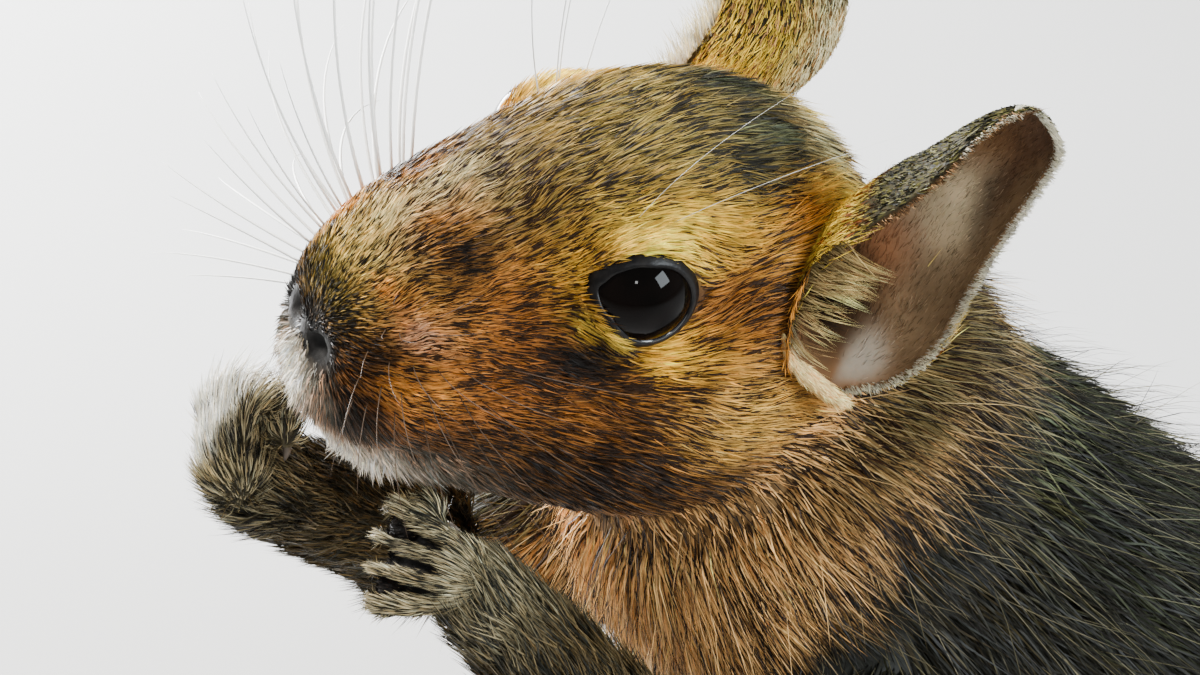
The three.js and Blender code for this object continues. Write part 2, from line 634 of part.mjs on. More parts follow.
for (const [name, side] of Object.entries(SIDES)) {
  const { elbow, wrist, points, back } = ARMS[name];
  const shoulder = mirrored(SHOULDER.at, side);
  const armMiddle = shoulder.clone().lerp(elbow, 0.5).add(point(0, side * 1.2, -1));
  const foreMiddle = elbow.clone().lerp(wrist, 0.4).add(point(-1, side * 1.2, -0.5));
  const upperArm = limb([
    { ...SHOULDER, at: shoulder },
    { ...ARM_MIDDLE, at: armMiddle },
    { ...ELBOW, at: elbow },
  ], { sides: 12, steps: 5 });
  const forearm = limb([
    { at: elbow.clone().lerp(wrist, 0.04), wide: FOREARM.elbow },
    { at: foreMiddle, wide: FOREARM.middle },
    { at: wrist, wide: FOREARM.wrist },
  ], { sides: 12, steps: 5 });
  const upperArmGrown = solid(grown(upperArm));
  addNode(degu, `upper_arm_${name}`, without(solid(upperArm), trunkGrown), FUR);
  addNode(degu, `forearm_${name}`, without(solid(forearm), upperArmGrown, trunkGrown), CREAM);
  const handGroup = new THREE.Group();
  placed(wrist, points, back).decompose(handGroup.position, handGroup.quaternion, handGroup.scale);
  handGroup.updateMatrix();
  degu.add(handGroup);
  const forearmInHand = moved(solid(grown(forearm)), handGroup.matrix.clone().invert());
  addNode(handGroup, `forepaw_${name}`, without(forepaw(side), forearmInHand), PAW_GREY);

  const onSide = (stations) => stations.map((s) => ({ ...s, at: mirrored(s.at, side) }));
  const thigh = limb(onSide(THIGH), { sides: 16, steps: 8 });
  const shank = limb(onSide(SHANK), { sides: 12, steps: 5 });
  const thighGrown = solid(grown(thigh));
  const overFloor = floorUpTo(LEG_CLEARANCE);
  addNode(degu, `thigh_${name}`, without(solid(thigh), trunkGrown, overFloor), FUR);
  addNode(degu, `shank_${name}`, without(solid(shank), thighGrown, trunkGrown, overFloor), FUR);
  const footGroup = new THREE.Group();
  footGroup.position.copy(mirrored(FOOT.heel, side));
  footGroup.rotation.z = side * FOOT.turnOut;
  footGroup.updateMatrix();
  degu.add(footGroup);
  const leg = joined(solid(grown(shank)), thighGrown, trunkGrown);
  const legInFoot = moved(leg, footGroup.matrix.clone().invert());
  addNode(footGroup, `hindfoot_${name}`, without(hindfoot(side), legInFoot), PAW_GREY);
}

const tailPath = new THREE.CatmullRomCurve3(TAIL.map((s) => s.at), false, "centripetal");
const tailForm = limb(TAIL, { sides: 10, steps: 26, capRings: 2 });
const tail = without(solid(tailForm), trunkGrown, floorUpTo(0));
const cutTail = (made, share) => parted(made, tailPath.getPointAt(share), tailPath.getTangentAt(share));
const afterBase = cutTail(tail, TAIL_CUTS.middle);
const afterMiddle = cutTail(afterBase.beyond, TAIL_CUTS.tip);
addNode(degu, "tail_base", afterBase.before, FUR);
addNode(degu, "tail_middle", afterMiddle.before, FUR);
const brush = without(joined(afterMiddle.beyond, ...brushLocks(tailPath)), floorUpTo(0));
addNode(degu, "tail_tip", brush, DARK);

degu.position.x = -SEAT_AT;

export default degu;
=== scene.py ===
"""A degu sitting up on its haunches, forepaws raised to its mouth: the looks round its solids.

One skin is grown over the flesh of the solids and shrunk by the depth of the coat. Over it lie
the coat's hairs as tapered blades, with the ears, eyes, lids, claws and whiskers as their own
pieces. Lengths are millimetres here and are made metres where a mesh is written.
"""

import math

import bpy
import numpy as np
from mathutils import Matrix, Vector
from mathutils.bvhtree import BVHTree


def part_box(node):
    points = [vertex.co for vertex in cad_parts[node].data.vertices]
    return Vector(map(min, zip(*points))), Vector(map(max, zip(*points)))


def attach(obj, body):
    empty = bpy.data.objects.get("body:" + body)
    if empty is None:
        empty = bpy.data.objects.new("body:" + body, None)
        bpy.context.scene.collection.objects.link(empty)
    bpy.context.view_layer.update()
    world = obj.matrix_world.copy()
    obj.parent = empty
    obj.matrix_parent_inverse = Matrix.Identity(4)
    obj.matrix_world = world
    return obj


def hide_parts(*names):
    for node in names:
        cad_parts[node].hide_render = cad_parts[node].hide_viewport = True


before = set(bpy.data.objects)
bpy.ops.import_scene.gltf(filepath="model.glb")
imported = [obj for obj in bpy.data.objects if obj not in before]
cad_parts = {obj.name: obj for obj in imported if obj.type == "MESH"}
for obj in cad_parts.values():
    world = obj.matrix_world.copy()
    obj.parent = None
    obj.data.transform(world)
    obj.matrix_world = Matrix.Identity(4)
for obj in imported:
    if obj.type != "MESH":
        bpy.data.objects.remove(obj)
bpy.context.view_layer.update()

MM = 0.001
SIDES = {"left": 1, "right": -1}

# The head's own frame, as in the solids: origin between the eyes, +X nose, +Y left, +Z crown
HEAD_AT = np.array([48.0, 0.0, 98.0])
HEAD_PITCH = math.radians(13.2)
HEAD_ROLL = math.radians(-7.2)

EYE = {"at": (0.1, 8.35, 0.0), "radius": 4.15, "facing": (0.26, 0.93, 0.22)}
# How far the skin's lid stands out round an eyeball, and under its open part sinks into it
LID_COVER = 1.05
SOCKET = {"rim": 0.35, "sunk": 0.9, "reach": 7.5}
# Half angle of the dark lid's outer edge round an eye, from its front corner over the top
LID_EDGE = [(10, 74), (25, 62), (50, 55), (90, 51), (130, 58), (180, 66), (250, 60), (300, 45), (335, 45)]
NOSTRIL = (19.9, 2.2, -9.4)
MOUTH = [(10.5, 8.4, -16.0), (15.6, 5.0, -16.6), (18.9, 0.0, -14.6)]


def array(values):
    return np.asarray(values, float)


def unit(v):
    return v / np.maximum(np.linalg.norm(v, axis=-1, keepdims=True), 1e-9)


def ramp(x, low, high):
    """0 below low, 1 above high, and smooth between."""
    t = np.clip((x - low) / (high - low), 0, 1)
    return t * t * (3 - 2 * t)


def mix(a, b, t):
    """From a at t 0 to b at t 1; t may have one value for each row of three."""
    a, b, t = array(a), array(b), array(t)
    if t.ndim and 3 in (a.shape[-1:] or (0,)) + (b.shape[-1:] or (0,)):
        t = t[..., None]
    return a + (b - a) * t


def turned(axis, angle):
    """The 3 by 3 matrix of a turn about X, Y or Z."""
    return array(Matrix.Rotation(angle, 3, axis))


HEAD_TURN = turned("Y", -HEAD_PITCH) @ turned("X", HEAD_ROLL)


def in_head(points):
    return (points - HEAD_AT) @ HEAD_TURN


def from_head(points):
    return array(points) @ HEAD_TURN.T + HEAD_AT


def mirrored(p, side):
    return array(p) * (1, side, 1)


def flattened(way, normal):
    """The way as it runs along a surface with that normal."""
    return unit(way - (way * normal).sum(1, keepdims=True) * normal)


def nearest_of(path, p):
    """For each point, the number of the nearest place on a path."""
    return np.linalg.norm(p[:, None] - path, axis=2).argmin(1)


def headings(path):
    return unit(np.gradient(path, axis=0))


NOISE_CELLS = 32


def noise(points, cell, seed):
    """Smooth noise from -1 to 1 in cells of the given size."""
    table = np.random.default_rng(seed).uniform(-1, 1, (NOISE_CELLS,) * 3)
    q = points / cell
    base = np.floor(q).astype(int)
    f = q - base
    f = f * f * (3 - 2 * f)
    total = np.zeros(len(points))
    for corner in np.ndindex(2, 2, 2):
        at = (base + corner) % NOISE_CELLS
        share = np.prod(np.where(corner, f, 1 - f), axis=1)
        total += share * table[at[:, 0], at[:, 1], at[:, 2]]
    return total


def along(values, t):
    """Catmull-Rom interpolation of equally spaced values or points, t from 0 to 1."""
    values = array(values)
    t = np.atleast_1d(array(t))
    last = len(values) - 1
    i = np.minimum((t * last).astype(int), last - 1)
    f = t * last - i
    padded = np.concatenate([[2 * values[0] - values[1]], values, [2 * values[-1] - values[-2]]])
    a, b, c, d = (padded[i + k] for k in range(4))
    if values.ndim > 1:
        f = f[:, None]
    slope_in, slope_out = (c - a) / 2, (d - b) / 2
    bend = 3 * (c - b) - 2 * slope_in - slope_out
    twist = slope_in + slope_out - 2 * (c - b)
    return b + f * (slope_in + f * (bend + f * twist))


# Surfaces as arrays


def ring_quads(rows, sides):
    """Faces between rows of points that each close on themselves."""
    start = np.arange(rows)[:, None] * sides
    s = np.arange(sides)
    n = (s + 1) % sides
    return np.stack([start + s, start + n, start + n + sides, start + s + sides], -1).reshape(-1, 4)


def tube(path, wide, deep=None, across=(0, 1, 0), sides=16, steps=24, round_ends=True):
    """Points and faces of a closed tapered tube along a curve through the path's points."""
    t = np.linspace(0, 1, steps + 1)
    middle = along(path, t)
    w = along(wide, t)
    d = w if deep is None else along(deep, t)
    if round_ends:
        length = np.linalg.norm(np.diff(middle, axis=0), axis=1).sum()
        cap = [min(end / length, 0.4) for end in (w[0], w[-1])]
        from_end = np.minimum(t / cap[0], (1 - t) / cap[1]).clip(0.02, 1)
        rounding = np.sqrt(1 - (1 - from_end) ** 2)
        w, d = w * rounding, d * rounding
    depth = unit(np.cross(headings(middle), array(across)))
    width = np.cross(depth, headings(middle))
    angle = np.arange(sides) / sides * 2 * math.pi
    aside = width[:, None] * (w[:, None] * np.cos(angle))[..., None]
    rings = middle[:, None] + aside + depth[:, None] * (d[:, None] * np.sin(angle))[..., None]
    points = np.concatenate([rings.reshape(-1, 3), middle[[0, -1]]])
    s = np.arange(sides)
    n = np.roll(s, -1)
    pole = s * 0 + len(points)
    top = steps * sides
    caps = [np.stack([n, s, pole - 2], -1), np.stack([top + s, top + n, pole - 1], -1)]
    return points, ring_quads(steps, sides), np.concatenate(caps)


def joined(parts):
    """One (points, quads, tris) from several."""
    starts = np.cumsum([0] + [len(points) for points, _, _ in parts])
    moved = [(p, q + start, t + start) for (p, q, t), start in zip(parts, starts)]
    return tuple(np.concatenate(kind) for kind in zip(*moved))


NO_QUADS = np.zeros((0, 4), int)
NO_TRIS = np.zeros((0, 3), int)


def mesh_of(name, points, quads=NO_QUADS, tris=NO_TRIS):
    mesh = bpy.data.meshes.new(name)
    loops = np.concatenate([quads.ravel(), tris.ravel()]).astype(np.int32)
    starts = np.concatenate([np.arange(len(quads)) * 4, len(quads) * 4 + np.arange(len(tris)) * 3])
    mesh.vertices.add(len(points))
    mesh.vertices.foreach_set("co", (points * MM).astype(np.float32).ravel())
    mesh.loops.add(len(loops))
    mesh.loops.foreach_set("vertex_index", loops)
    mesh.polygons.add(len(starts))
    mesh.polygons.foreach_set("loop_start", starts.astype(np.int32))
    mesh.polygons.foreach_set("use_smooth", np.ones(len(starts), bool))
    mesh.update(calc_edges=True)
    return mesh


def object_of(name, data):
    made = bpy.data.objects.new(name, data)
    bpy.context.scene.collection.objects.link(made)
    return made


def aimed(name, data, axes, at):
    """The object of a camera's or light's data, by its right, up and back and its place."""
    turn = np.eye(4)
    turn[:3, :3] = np.stack(axes, axis=1)
    turn[:3, 3] = at * MM
    made = object_of(name, data)
    made.matrix_world = Matrix(turn.tolist())
    return made


def read(items, key, each=1, kind=float):
    """One property of a mesh's items, with so many values in a row."""
    values = np.zeros(len(items) * each, kind)
    items.foreach_get(key, values)
    return values.reshape(-1, each) if each > 1 else values


def piece(name, surface, material, tint=None, uv=None):
    """A shown object that rides with the whole degu; tint is a colour for each point."""
    mesh = mesh_of(name, *surface)
    if tint is not None:
        colours = np.concatenate([tint, np.ones((len(tint), 1))], axis=1)
        layer = mesh.color_attributes.new("tint", "FLOAT_COLOR", "POINT")
        layer.data.foreach_set("color", colours.astype(np.float32).ravel())
    if uv is not None:
        layer = mesh.uv_layers.new(name="OFBake")
        corners = read(mesh.loops, "vertex_index", kind=np.int32)
        layer.data.foreach_set("uv", uv[corners].astype(np.float32).ravel())
    mesh.materials.append(material)
    made = object_of(name, mesh)
    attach(made, "root")
    return made


def node_surface(name):
    """Points and triangles of a solid's node."""
    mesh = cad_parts[name].data
    mesh.calc_loop_triangles()
    points = np.round(read(mesh.vertices, "co", 3) / MM, 4)
    points, same = np.unique(points, axis=0, return_inverse=True)
    return points, NO_QUADS, same.ravel()[read(mesh.loop_triangles, "vertices", 3, np.int32)]


def triangles_of(quads, tris=NO_TRIS):
    return np.concatenate([quads[:, [0, 1, 2]], quads[:, [0, 2, 3]], tris])


def summed(count, index, values):
    """Sum of the rows of values at each index."""
    return np.stack([np.bincount(index, v, count) for v in values.T], axis=1)


def normals_of(points, triangles):
    a, b, c = (points[triangles[:, k]] for k in range(3))
    across = np.cross(b - a, c - a)
    total = sum(summed(len(points), triangles[:, k], across) for k in range(3))
    return unit(total)


def grown(surface, by):
    points, quads, tris = surface
    return points + normals_of(points, triangles_of(quads, tris)) * by, quads, tris


def edges_of(quads):
    pairs = np.concatenate([quads[:, [k, (k + 1) % 4]] for k in range(4)])
    return np.unique(np.sort(pairs, axis=1), axis=0)


class Blur:
    """Averages values over a surface's neighbouring points."""

    def __init__(self, count, edges):
        self.a = np.concatenate([edges[:, 0], edges[:, 1]])
        self.b = np.concatenate([edges[:, 1], edges[:, 0]])
        self.count = count
        self.degree = np.maximum(np.bincount(self.a, minlength=count), 1)

    def once(self, values):
        if values.ndim == 1:
            return np.bincount(self.a, values[self.b], self.count) / self.degree
        return summed(self.count, self.a, values[self.b]) / self.degree[:, None]

    def rounds(self, values, rounds):
        for _ in range(rounds):
            values = (values + self.once(values)) / 2
        return values


# Camera: the photo's, close and from above the animal's left front
CAMERA = {"azimuth": 65.2, "elevation": 38.0, "distance": 330.0, "pixels_per_mm": 14.0}
CAMERA_ANCHOR = HEAD_AT
ANCHOR_PIXEL = (592.0, 208.0)
FRAME_PIXELS = (1200.0, 675.0)
SENSOR = 36.0


def add_camera():
    a, e = math.radians(CAMERA["azimuth"]), math.radians(CAMERA["elevation"])
    back = array([math.cos(a) * math.cos(e), math.sin(a) * math.cos(e), math.sin(e)])
    right = unit(np.cross([0, 0, 1], back))
    up = np.cross(back, right)
    dx = (ANCHOR_PIXEL[0] - FRAME_PIXELS[0] / 2) / CAMERA["pixels_per_mm"]
    dy = (ANCHOR_PIXEL[1] - FRAME_PIXELS[1] / 2) / CAMERA["pixels_per_mm"]
    at = CAMERA_ANCHOR + back * CAMERA["distance"] - right * dx + up * dy
    data = bpy.data.cameras.new("camera")
    data.sensor_width = SENSOR
    data.lens = SENSOR * CAMERA["distance"] * CAMERA["pixels_per_mm"] / FRAME_PIXELS[0]
    data.clip_start = 0.01
    bpy.context.scene.camera = aimed("camera", data, (right, up, back), at)
    return right, up, back


VIEW_RIGHT, VIEW_UP, VIEW_BACK = add_camera()


# Materials


def material(name, roughness, shine, grain, low, high, tinted=True, bump=None, **more):
    """Its tones run from low to high over a noise; bump is a noise, its strength and its depth."""
    made = bpy.data.materials.new(name)
    made.use_nodes = True
    tree = made.node_tree

    def put(node, inputs):
        for key, value in inputs.items():
            if isinstance(value, bpy.types.NodeSocket):
                tree.links.new(value, node.inputs[key])
            else:
                node.inputs[key].default_value = value

    def add(kind, inputs, output=0, **settings):
        """The output of a new node."""
        node = tree.nodes.new("ShaderNode" + kind)
        for key, value in settings.items():
            setattr(node, key, value)
        put(node, inputs)
        return node.outputs[output]

    def noise(scale, detail=2.0, stretch=(1, 1, 1)):
        placed = add("Mapping", {"Vector": add("TexCoord", {}, "Object"), "Scale": stretch})
        return add("TexNoise", {"Vector": placed, "Scale": scale, "Detail": detail}, "Fac")

    tone = add("ValToRGB", {"Fac": noise(*grain)}, "Color")
    for mark, (at, value) in zip(tone.node.color_ramp.elements, (low, high)):
        mark.position = at
        mark.color = (*value, 1) if isinstance(value, tuple) else (value, value, value, 1)
    if tinted:
        tint = add("Attribute", {}, "Color", attribute_name="tint")
        tone = add("Mix", {0: 1.0, 6: tint, 7: tone}, 2, data_type="RGBA", blend_type="MULTIPLY")
    values = {"Base Color": tone, "Roughness": roughness, "Specular IOR Level": shine}
    if bump:
        relief, strength, depth = bump
        height = {"Height": noise(*relief), "Strength": strength, "Distance": depth * MM}
        values["Normal"] = add("Bump", height, "Normal")
    put(tree.nodes["Principled BSDF"], {**values, **more})
    return made


# A noise's scale, detail and stretch
HAIR_GRAIN = (900.0, 3.0)
STRANDS = (1400.0, 4.0, (1.0, 1.0, 0.35))
THIN_SKIN = {"Subsurface Weight": 0.15, "Subsurface Radius": (1.0, 0.35, 0.2), "Subsurface Scale": 1.2 * MM}

HAIR = material("coat_hair", 0.5, 0.14, HAIR_GRAIN, (0.3, 0.72), (0.7, 1.25))
EAR_HAIR = material("ear_hair", 0.5, 0.03, HAIR_GRAIN, (0.3, 0.72), (0.7, 1.25))
WHISKER = material("whisker_horn", 0.5, 0.2, HAIR_GRAIN, (0.3, 1.0), (0.7, 1.0))
SKIN = material("skin", 0.7, 0.25, STRANDS, (0.35, 0.6), (0.65, 1.15), bump=(STRANDS, 0.5, 0.25))
EAR_BUMP = ((1600.0, 3.0), 0.35, 0.15)
EAR_GRAIN = (350.0, 4.0)
EAR_SKIN = material("ear_skin", 0.85, 0.04, EAR_GRAIN, (0.3, 0.78), (0.7, 1.18), bump=EAR_BUMP, **THIN_SKIN)
EYE_BLACK = material(
    "eye_black", 0.03, 0.07, (250.0,), (0.35, (0.0015, 0.0012, 0.001)), (0.75, (0.004, 0.0025, 0.002)), False
)
LID_SKIN = material(
    "lid_skin", 0.42, 0.18, (1500.0, 3.0), (0.35, (0.003, 0.0025, 0.0025)), (0.7, (0.010, 0.008, 0.007)),
    False, ((2600.0,), 0.4, 0.08),
)
TEAR = material("tear_film", 0.08, 0.9, (900.0,), (0.3, 0.02), (0.7, 0.035), False)
CLAW = material(
    "claw_horn", 0.5, 0.3, (700.0, 2.0, (0.3, 1, 1)), (0.3, (0.07, 0.055, 0.045)), (0.75, (0.22, 0.18, 0.14)),
    False, ((1800.0,), 0.2, 0.05),
)
FLOOR = material(
    "floor_paper", 0.85, 0.5, (9.0, 3.0), (0.3, (0.48, 0.48, 0.475)), (0.7, (0.52, 0.52, 0.515)), False
)


# Paws: each digit is a bent tube with knuckles, in the hand's or foot's own frame

HANDS = {
    "left": {
        "wrist": (62.7, 9.1, 75.7),
        "elbow": (47.0, 16.5, 50.0),
        "points": (0.69, -0.72, 0.03),
        "back": (0.33, 0.71, 0.62),
        "curl": 2.8,
        "hair_bends": (6.0, 11.0),
    },
    "right": {
        "wrist": (72.5, -10.6, 73.8),
        "elbow": (51.5, -16.0, 53.0),
        "points": (-0.08, -0.5, 0.86),
        "back": (0.88, -0.15, 0.42),
        "curl": 3.4,
        "hair_bends": (2.0, 8.0),
    },
}
SHOULDER = (23.0, 10.5, 61.0)
PALM = {"long": 4.8, "half_width": 3.8, "half_thick": 1.75}
FINGERS = [(0.78, 10.4, 0.98), (0.26, 11.6, 1.06), (-0.26, 11.4, 1.06), (-0.78, 10.0, 0.98)]
FOOT = {"heel": (-2.0, 27.0, 0.0), "turn_out": math.radians(7), "long": 27.0, "half_width": 4.8, "high": 6.4}
TOES = [
    (0.9, 7.8, 1.35, 0.76),
    (0.47, 9.4, 1.5, 0.86),
    (0.0, 10.2, 1.55, 0.89),
    (-0.47, 9.6, 1.5, 0.87),
    (-0.88, 6.6, 1.25, 0.66),
]
DIGIT_BENDS = [(0.44, 0.12), (0.31, 0.5), (0.25, 0.38)]
SOLE_PRESS = 0.35
# The lowest places of flesh, claws and hairs over the floor
LOWEST = {"flesh": 0.15, "claw": 0.05, "hair": 0.05, "guard": 0.1, "brush": 0.15}


def digit(root, long, fat, heading, bend_by, claw):
    """The flesh of a finger or toe and its claw."""
    stops = [array(root)]
    slope = 0.15
    for share, bend in DIGIT_BENDS:
        slope -= bend_by * bend
        level = math.cos(slope)
        step = array([level * math.cos(heading), level * math.sin(heading), math.sin(slope)])
        stops.append(stops[-1] + step * long * share)
    across = (-math.sin(heading), math.cos(heading), 0)
    knuckles = along([1.02, 0.9, 1.02, 0.86, 0.97, 0.84, 0.72], np.linspace(0, 1, 13)) * fat
    path = along(stops, np.linspace(0, 1, 13))
    flesh = tube(path, knuckles, across=across, sides=20, steps=36)
    ahead = unit(stops[-1] - stops[-2])
    below = unit(np.cross(array(across), ahead))
    below *= -np.sign(below[2] * math.cos(slope) + 1e-9)
    reach = np.linspace(-0.5, claw, 5)
    sunk = np.linspace(0, 1, 5) ** 2 * claw * 0.35
    nail_path = stops[-1] + ahead * reach[:, None] + below * sunk[:, None] - below * 0.15 * fat
    nail = tube(nail_path, fat * array([0.34, 0.36, 0.3, 0.2, 0.06]), across=across, sides=10, steps=10)
    return flesh, nail


def forepaw(side, curl):
    long, half, thick = PALM["long"], PALM["half_width"], PALM["half_thick"]
    palm = tube(
        [(-2.5, 0, -0.2), (0.5, 0, -0.1), (long * 0.6, 0, 0), (long + 0.6, 0, -0.3)],
        [2.9, 3.1, half * 0.95, half * 0.9],
        [2.6, 2.5, thick * 1.05, thick * 0.8],
        sides=28,
    )
    made = [
        digit((long - 4.0, -side * a * half * 0.92, 0.5), reach, fat, -side * a * 0.16, curl, 0.7)
        for a, reach, fat in FINGERS
    ]
    made.append(digit((2.2, -side * half * 0.8, -0.8), 3.0, 0.9, -side * 0.7, 0.9, 0.4))
    pad = tube([(2.0, -half * 0.6, -2.2), (4.2, 0, -2.9), (2.0, half * 0.6, -2.2)], [1.5, 2.1, 1.5], sides=20)
    return joined([palm, pad] + [flesh for flesh, _ in made]), joined([nail for _, nail in made])


def hindfoot(side):
    long, half, high = FOOT["long"], FOOT["half_width"], FOOT["high"]
    sole = tube(
        [(long * t, 0, high * up - SOLE_PRESS) for t, up in ((0, 0.52), (0.45, 0.48), (1, 0.38))],
        [3.4, half * 0.86, half],
        [high * 0.52, high * 0.48, high * 0.38],
        sides=28,
    )
    made = [
        digit((long * start, side * a * half * 0.86, fat), reach, fat, side * a * 0.22, 0.24, 2.2)
        for a, reach, fat, start in TOES
    ]
    return joined([sole] + [flesh for flesh, _ in made]), joined([nail for _, nail in made])


def placed(surface, at, turn):
    points, quads, tris = surface
    return points @ turn.T + array(at), quads, tris


def hand_turn(hand):
    x = unit(array(hand["points"]))
    y = unit(np.cross(array(hand["back"]), x))
    return np.stack([x, y, np.cross(x, y)], axis=1)


def above_floor(surface, level):
    points, *faces = surface
    return np.maximum(points, (-np.inf, -np.inf, level)), *faces


# The tail, from the rump to the end of its core

TAIL = [
    (-14, 0, 10), (-30, -0.5, 6), (-48, -3, 4.2), (-67, -8, 3.6), (-86, -8, 3.6), (-103, -1, 4.2),
    (-114, 7, 3.2),
]
TAIL_WIDE = [7, 5.6, 4.6, 4.0, 4.0, 4.2, 2.0]


def tail_core():
    return tube(TAIL, TAIL_WIDE, sides=24, steps=90)


# The flesh: all nodes but eyes and ears, as one surface

GAP_FILL = 0.2
VOXEL = 0.5
FINE_VOXEL = 0.22  # for paws and feet
# For each part: how far it is smoothed, then its coat's length, width, depth over the skin, hairs
# a square millimetre and the angle in degrees at which they leave the skin
PARTS = {
    "head": (0.22, 3.4, 0.13, 0.9, 30, 24),
    "neck": (1.0, 5.6, 0.14, 2.0, 21, 27),
    "torso": (1.0, 8.6, 0.21, 2.9, 8, 27),
    "arm": (0.8, 5.8, 0.18, 1.7, 12, 28),
    "forearm": (0.5, 4.2, 0.13, 0.9, 20, 30),
    "paw": (0.03, 1.6, 0.10, 0.2, 40, 13),
    "thigh": (1.0, 8.0, 0.24, 2.4, 6.5, 26),
    "shank": (0.6, 4.5, 0.18, 1.2, 10, 24),
    "foot": (0.06, 1.5, 0.11, 0.2, 22, 12),
    "tail": (0.3, 3.4, 0.16, 0.9, 12, 20),
}
NUMBER = {name: k for k, name in enumerate(PARTS)}
SOLID_PARTS = ("head", "neck", "torso", "arm", "forearm", "thigh", "shank")
SMOOTHING_ROUNDS = 70


def eye_centre(side):
    low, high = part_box("eye_left" if side > 0 else "eye_right")
    return (array(low) + array(high)) / 2 / MM


def eye_axes(side):
    """Facing, forward and upward directions of an eye, in the head's frame."""
    facing = unit(mirrored(EYE["facing"], side))
    forward = unit(array([1.0, 0, 0]) - facing * facing[0])
    upward = array([0.0, 0, 1.0]) - facing * facing[2]
    return facing, forward, unit(upward - forward * (upward @ forward))


def lid_opening(angle):
    """Half angle of the lid's outer edge at each turn about the eye's axis."""
    turn, half = array(LID_EDGE).T
    even = np.arange(0, 360, 3)
    smooth = np.interp(even, turn, half, period=360)
    for _ in range(3):
        smooth = (np.roll(smooth, 1) + 2 * smooth + np.roll(smooth, -1)) / 4
    return np.radians(np.interp(np.degrees(angle) % 360, even, smooth, period=360))


def ball(centre, radius, sides=64):
    heights = np.linspace(-1, 1, sides // 2 + 1) * math.pi / 2
    angle = np.arange(sides) / sides * 2 * math.pi
    ring = np.stack([np.cos(angle), np.sin(angle), angle * 0], -1)
    grid = ring[None] * np.cos(heights)[:, None, None] + np.sin(heights)[:, None, None] * array([0, 0, 1])
    return grid.reshape(-1, 3) * radius + array(centre), ring_quads(sides // 2, sides), NO_TRIS


def flesh_parts():
    """(surface, part name) of every piece of flesh, and the claws."""
    made = []
    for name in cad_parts:
        kind = name.replace("_left", "").replace("_right", "").replace("upper_", "")
        if kind in SOLID_PARTS:
            surface = node_surface(name)
            made.append((surface if kind == "head" else grown(surface, GAP_FILL), kind))
    claws = []
    for name, side in SIDES.items():
        flesh, nails = forepaw(side, HANDS[name]["curl"])
        turn = hand_turn(HANDS[name])
        made.append((placed(flesh, HANDS[name]["wrist"], turn), "paw"))
        claws.append(placed(nails, HANDS[name]["wrist"], turn))
        flesh, nails = hindfoot(side)
        turn = turned("Z", side * FOOT["turn_out"])
        heel = mirrored(FOOT["heel"], side)
        made.append((above_floor(placed(flesh, heel, turn), LOWEST["flesh"]), "foot"))
        claws.append(above_floor(placed(nails, heel, turn), LOWEST["claw"]))
        made.append((ball(eye_centre(side), EYE["radius"] + LID_COVER), "head"))
    made.append((tail_core(), "tail"))
    return made, joined(claws)


def remeshed(surface, voxel):
    source = object_of("flesh_source", mesh_of("flesh_source", *surface))
    modifier = source.modifiers.new("remesh", "REMESH")
    modifier.mode = "VOXEL"
    modifier.voxel_size = voxel * MM
    graph = bpy.context.evaluated_depsgraph_get()
    mesh = bpy.data.meshes.new_from_object(source.evaluated_get(graph))
    points, quads = read(mesh.vertices, "co", 3) / MM, read(mesh.loops, "vertex_index", kind=np.int32)
    bpy.data.meshes.remove(mesh)
    bpy.data.objects.remove(source)
    return points, quads.reshape(-1, 4)


def nearest_part(parts, points):
    """For each point, the number of the nearest piece's part."""
    surface = joined([s for s, _ in parts])
    tris = triangles_of(surface[1], surface[2])
    owner = np.repeat([NUMBER[part] for _, part in parts], [len(s[0]) for s, _ in parts])
    tree = BVHTree.FromPolygons(surface[0].tolist(), tris.tolist())
    found = np.array([tree.find_nearest(p)[2] for p in points.tolist()])
    return owner[tris[found, 0]]


flesh, claws = flesh_parts()
fine = ("paw", "foot")
points, quads = remeshed(joined([s for s, name in flesh if name not in fine]), VOXEL)
paw_points, paw_quads = remeshed(joined([s for s, name in flesh if name in fine]), FINE_VOXEL)
quads = np.concatenate([quads, paw_quads + len(points)])
points = np.concatenate([points, paw_points])
part = nearest_part(flesh, points)
blur = Blur(len(points), edges_of(quads))


def of_parts(*names):
    """True at each point that belongs to one of the parts."""
    return np.isin(part, [NUMBER[name] for name in names])


by_part = array(list(PARTS.values()))[part]


def smoothed(points):
    """Smooths the solids' facets without shrinking the thin parts."""
    share = blur.rounds(by_part[:, 0], 6)[:, None]
    for _ in range(SMOOTHING_ROUNDS):
        points = points + share * 0.6 * (blur.once(points) - points)
        points = points - share * 0.62 * (blur.once(points) - points)
    return points


points = smoothed(points)
triangles = triangles_of(quads)
normals = blur.rounds(normals_of(points, triangles), 2)
normals = unit(normals)
head_points = in_head(points)
# Both sides of the head as the left one
front = head_points * (1, 0, 1) + np.abs(head_points) * (0, 1, 0)


def between_fingers():
    """1 in the clefts between the fingers of the forepaws and 0 on them."""
    made = np.zeros(len(points))
    for name, side in SIDES.items():
        paw = of_parts("paw") & (points[:, 1] * side > 0)
        local = (points[paw] - array(HANDS[name]["wrist"])) @ hand_turn(HANDS[name])
        ahead, aside = local[:, 0], local[:, 1]
        wide = PALM["half_width"] * 0.92 + 0.16 * (ahead - PALM["long"] + 4.0)
        away = np.abs(aside - array([-side * a * wide for a, _, _ in FINGERS])).min(0)
        made[paw] = ramp(away, 0.42, 0.8) * ramp(ahead, -0.4, 1.4) * ramp(-np.abs(aside), -3.9, -3.3)
    return made


cleft = between_fingers()
is_head = blur.rounds(of_parts("head").astype(float), 12)


uneven = np.stack([noise(points, 1.1, k) + 0.6 * noise(points, 2.6, k + 3) for k in (31, 32, 33)], axis=1)


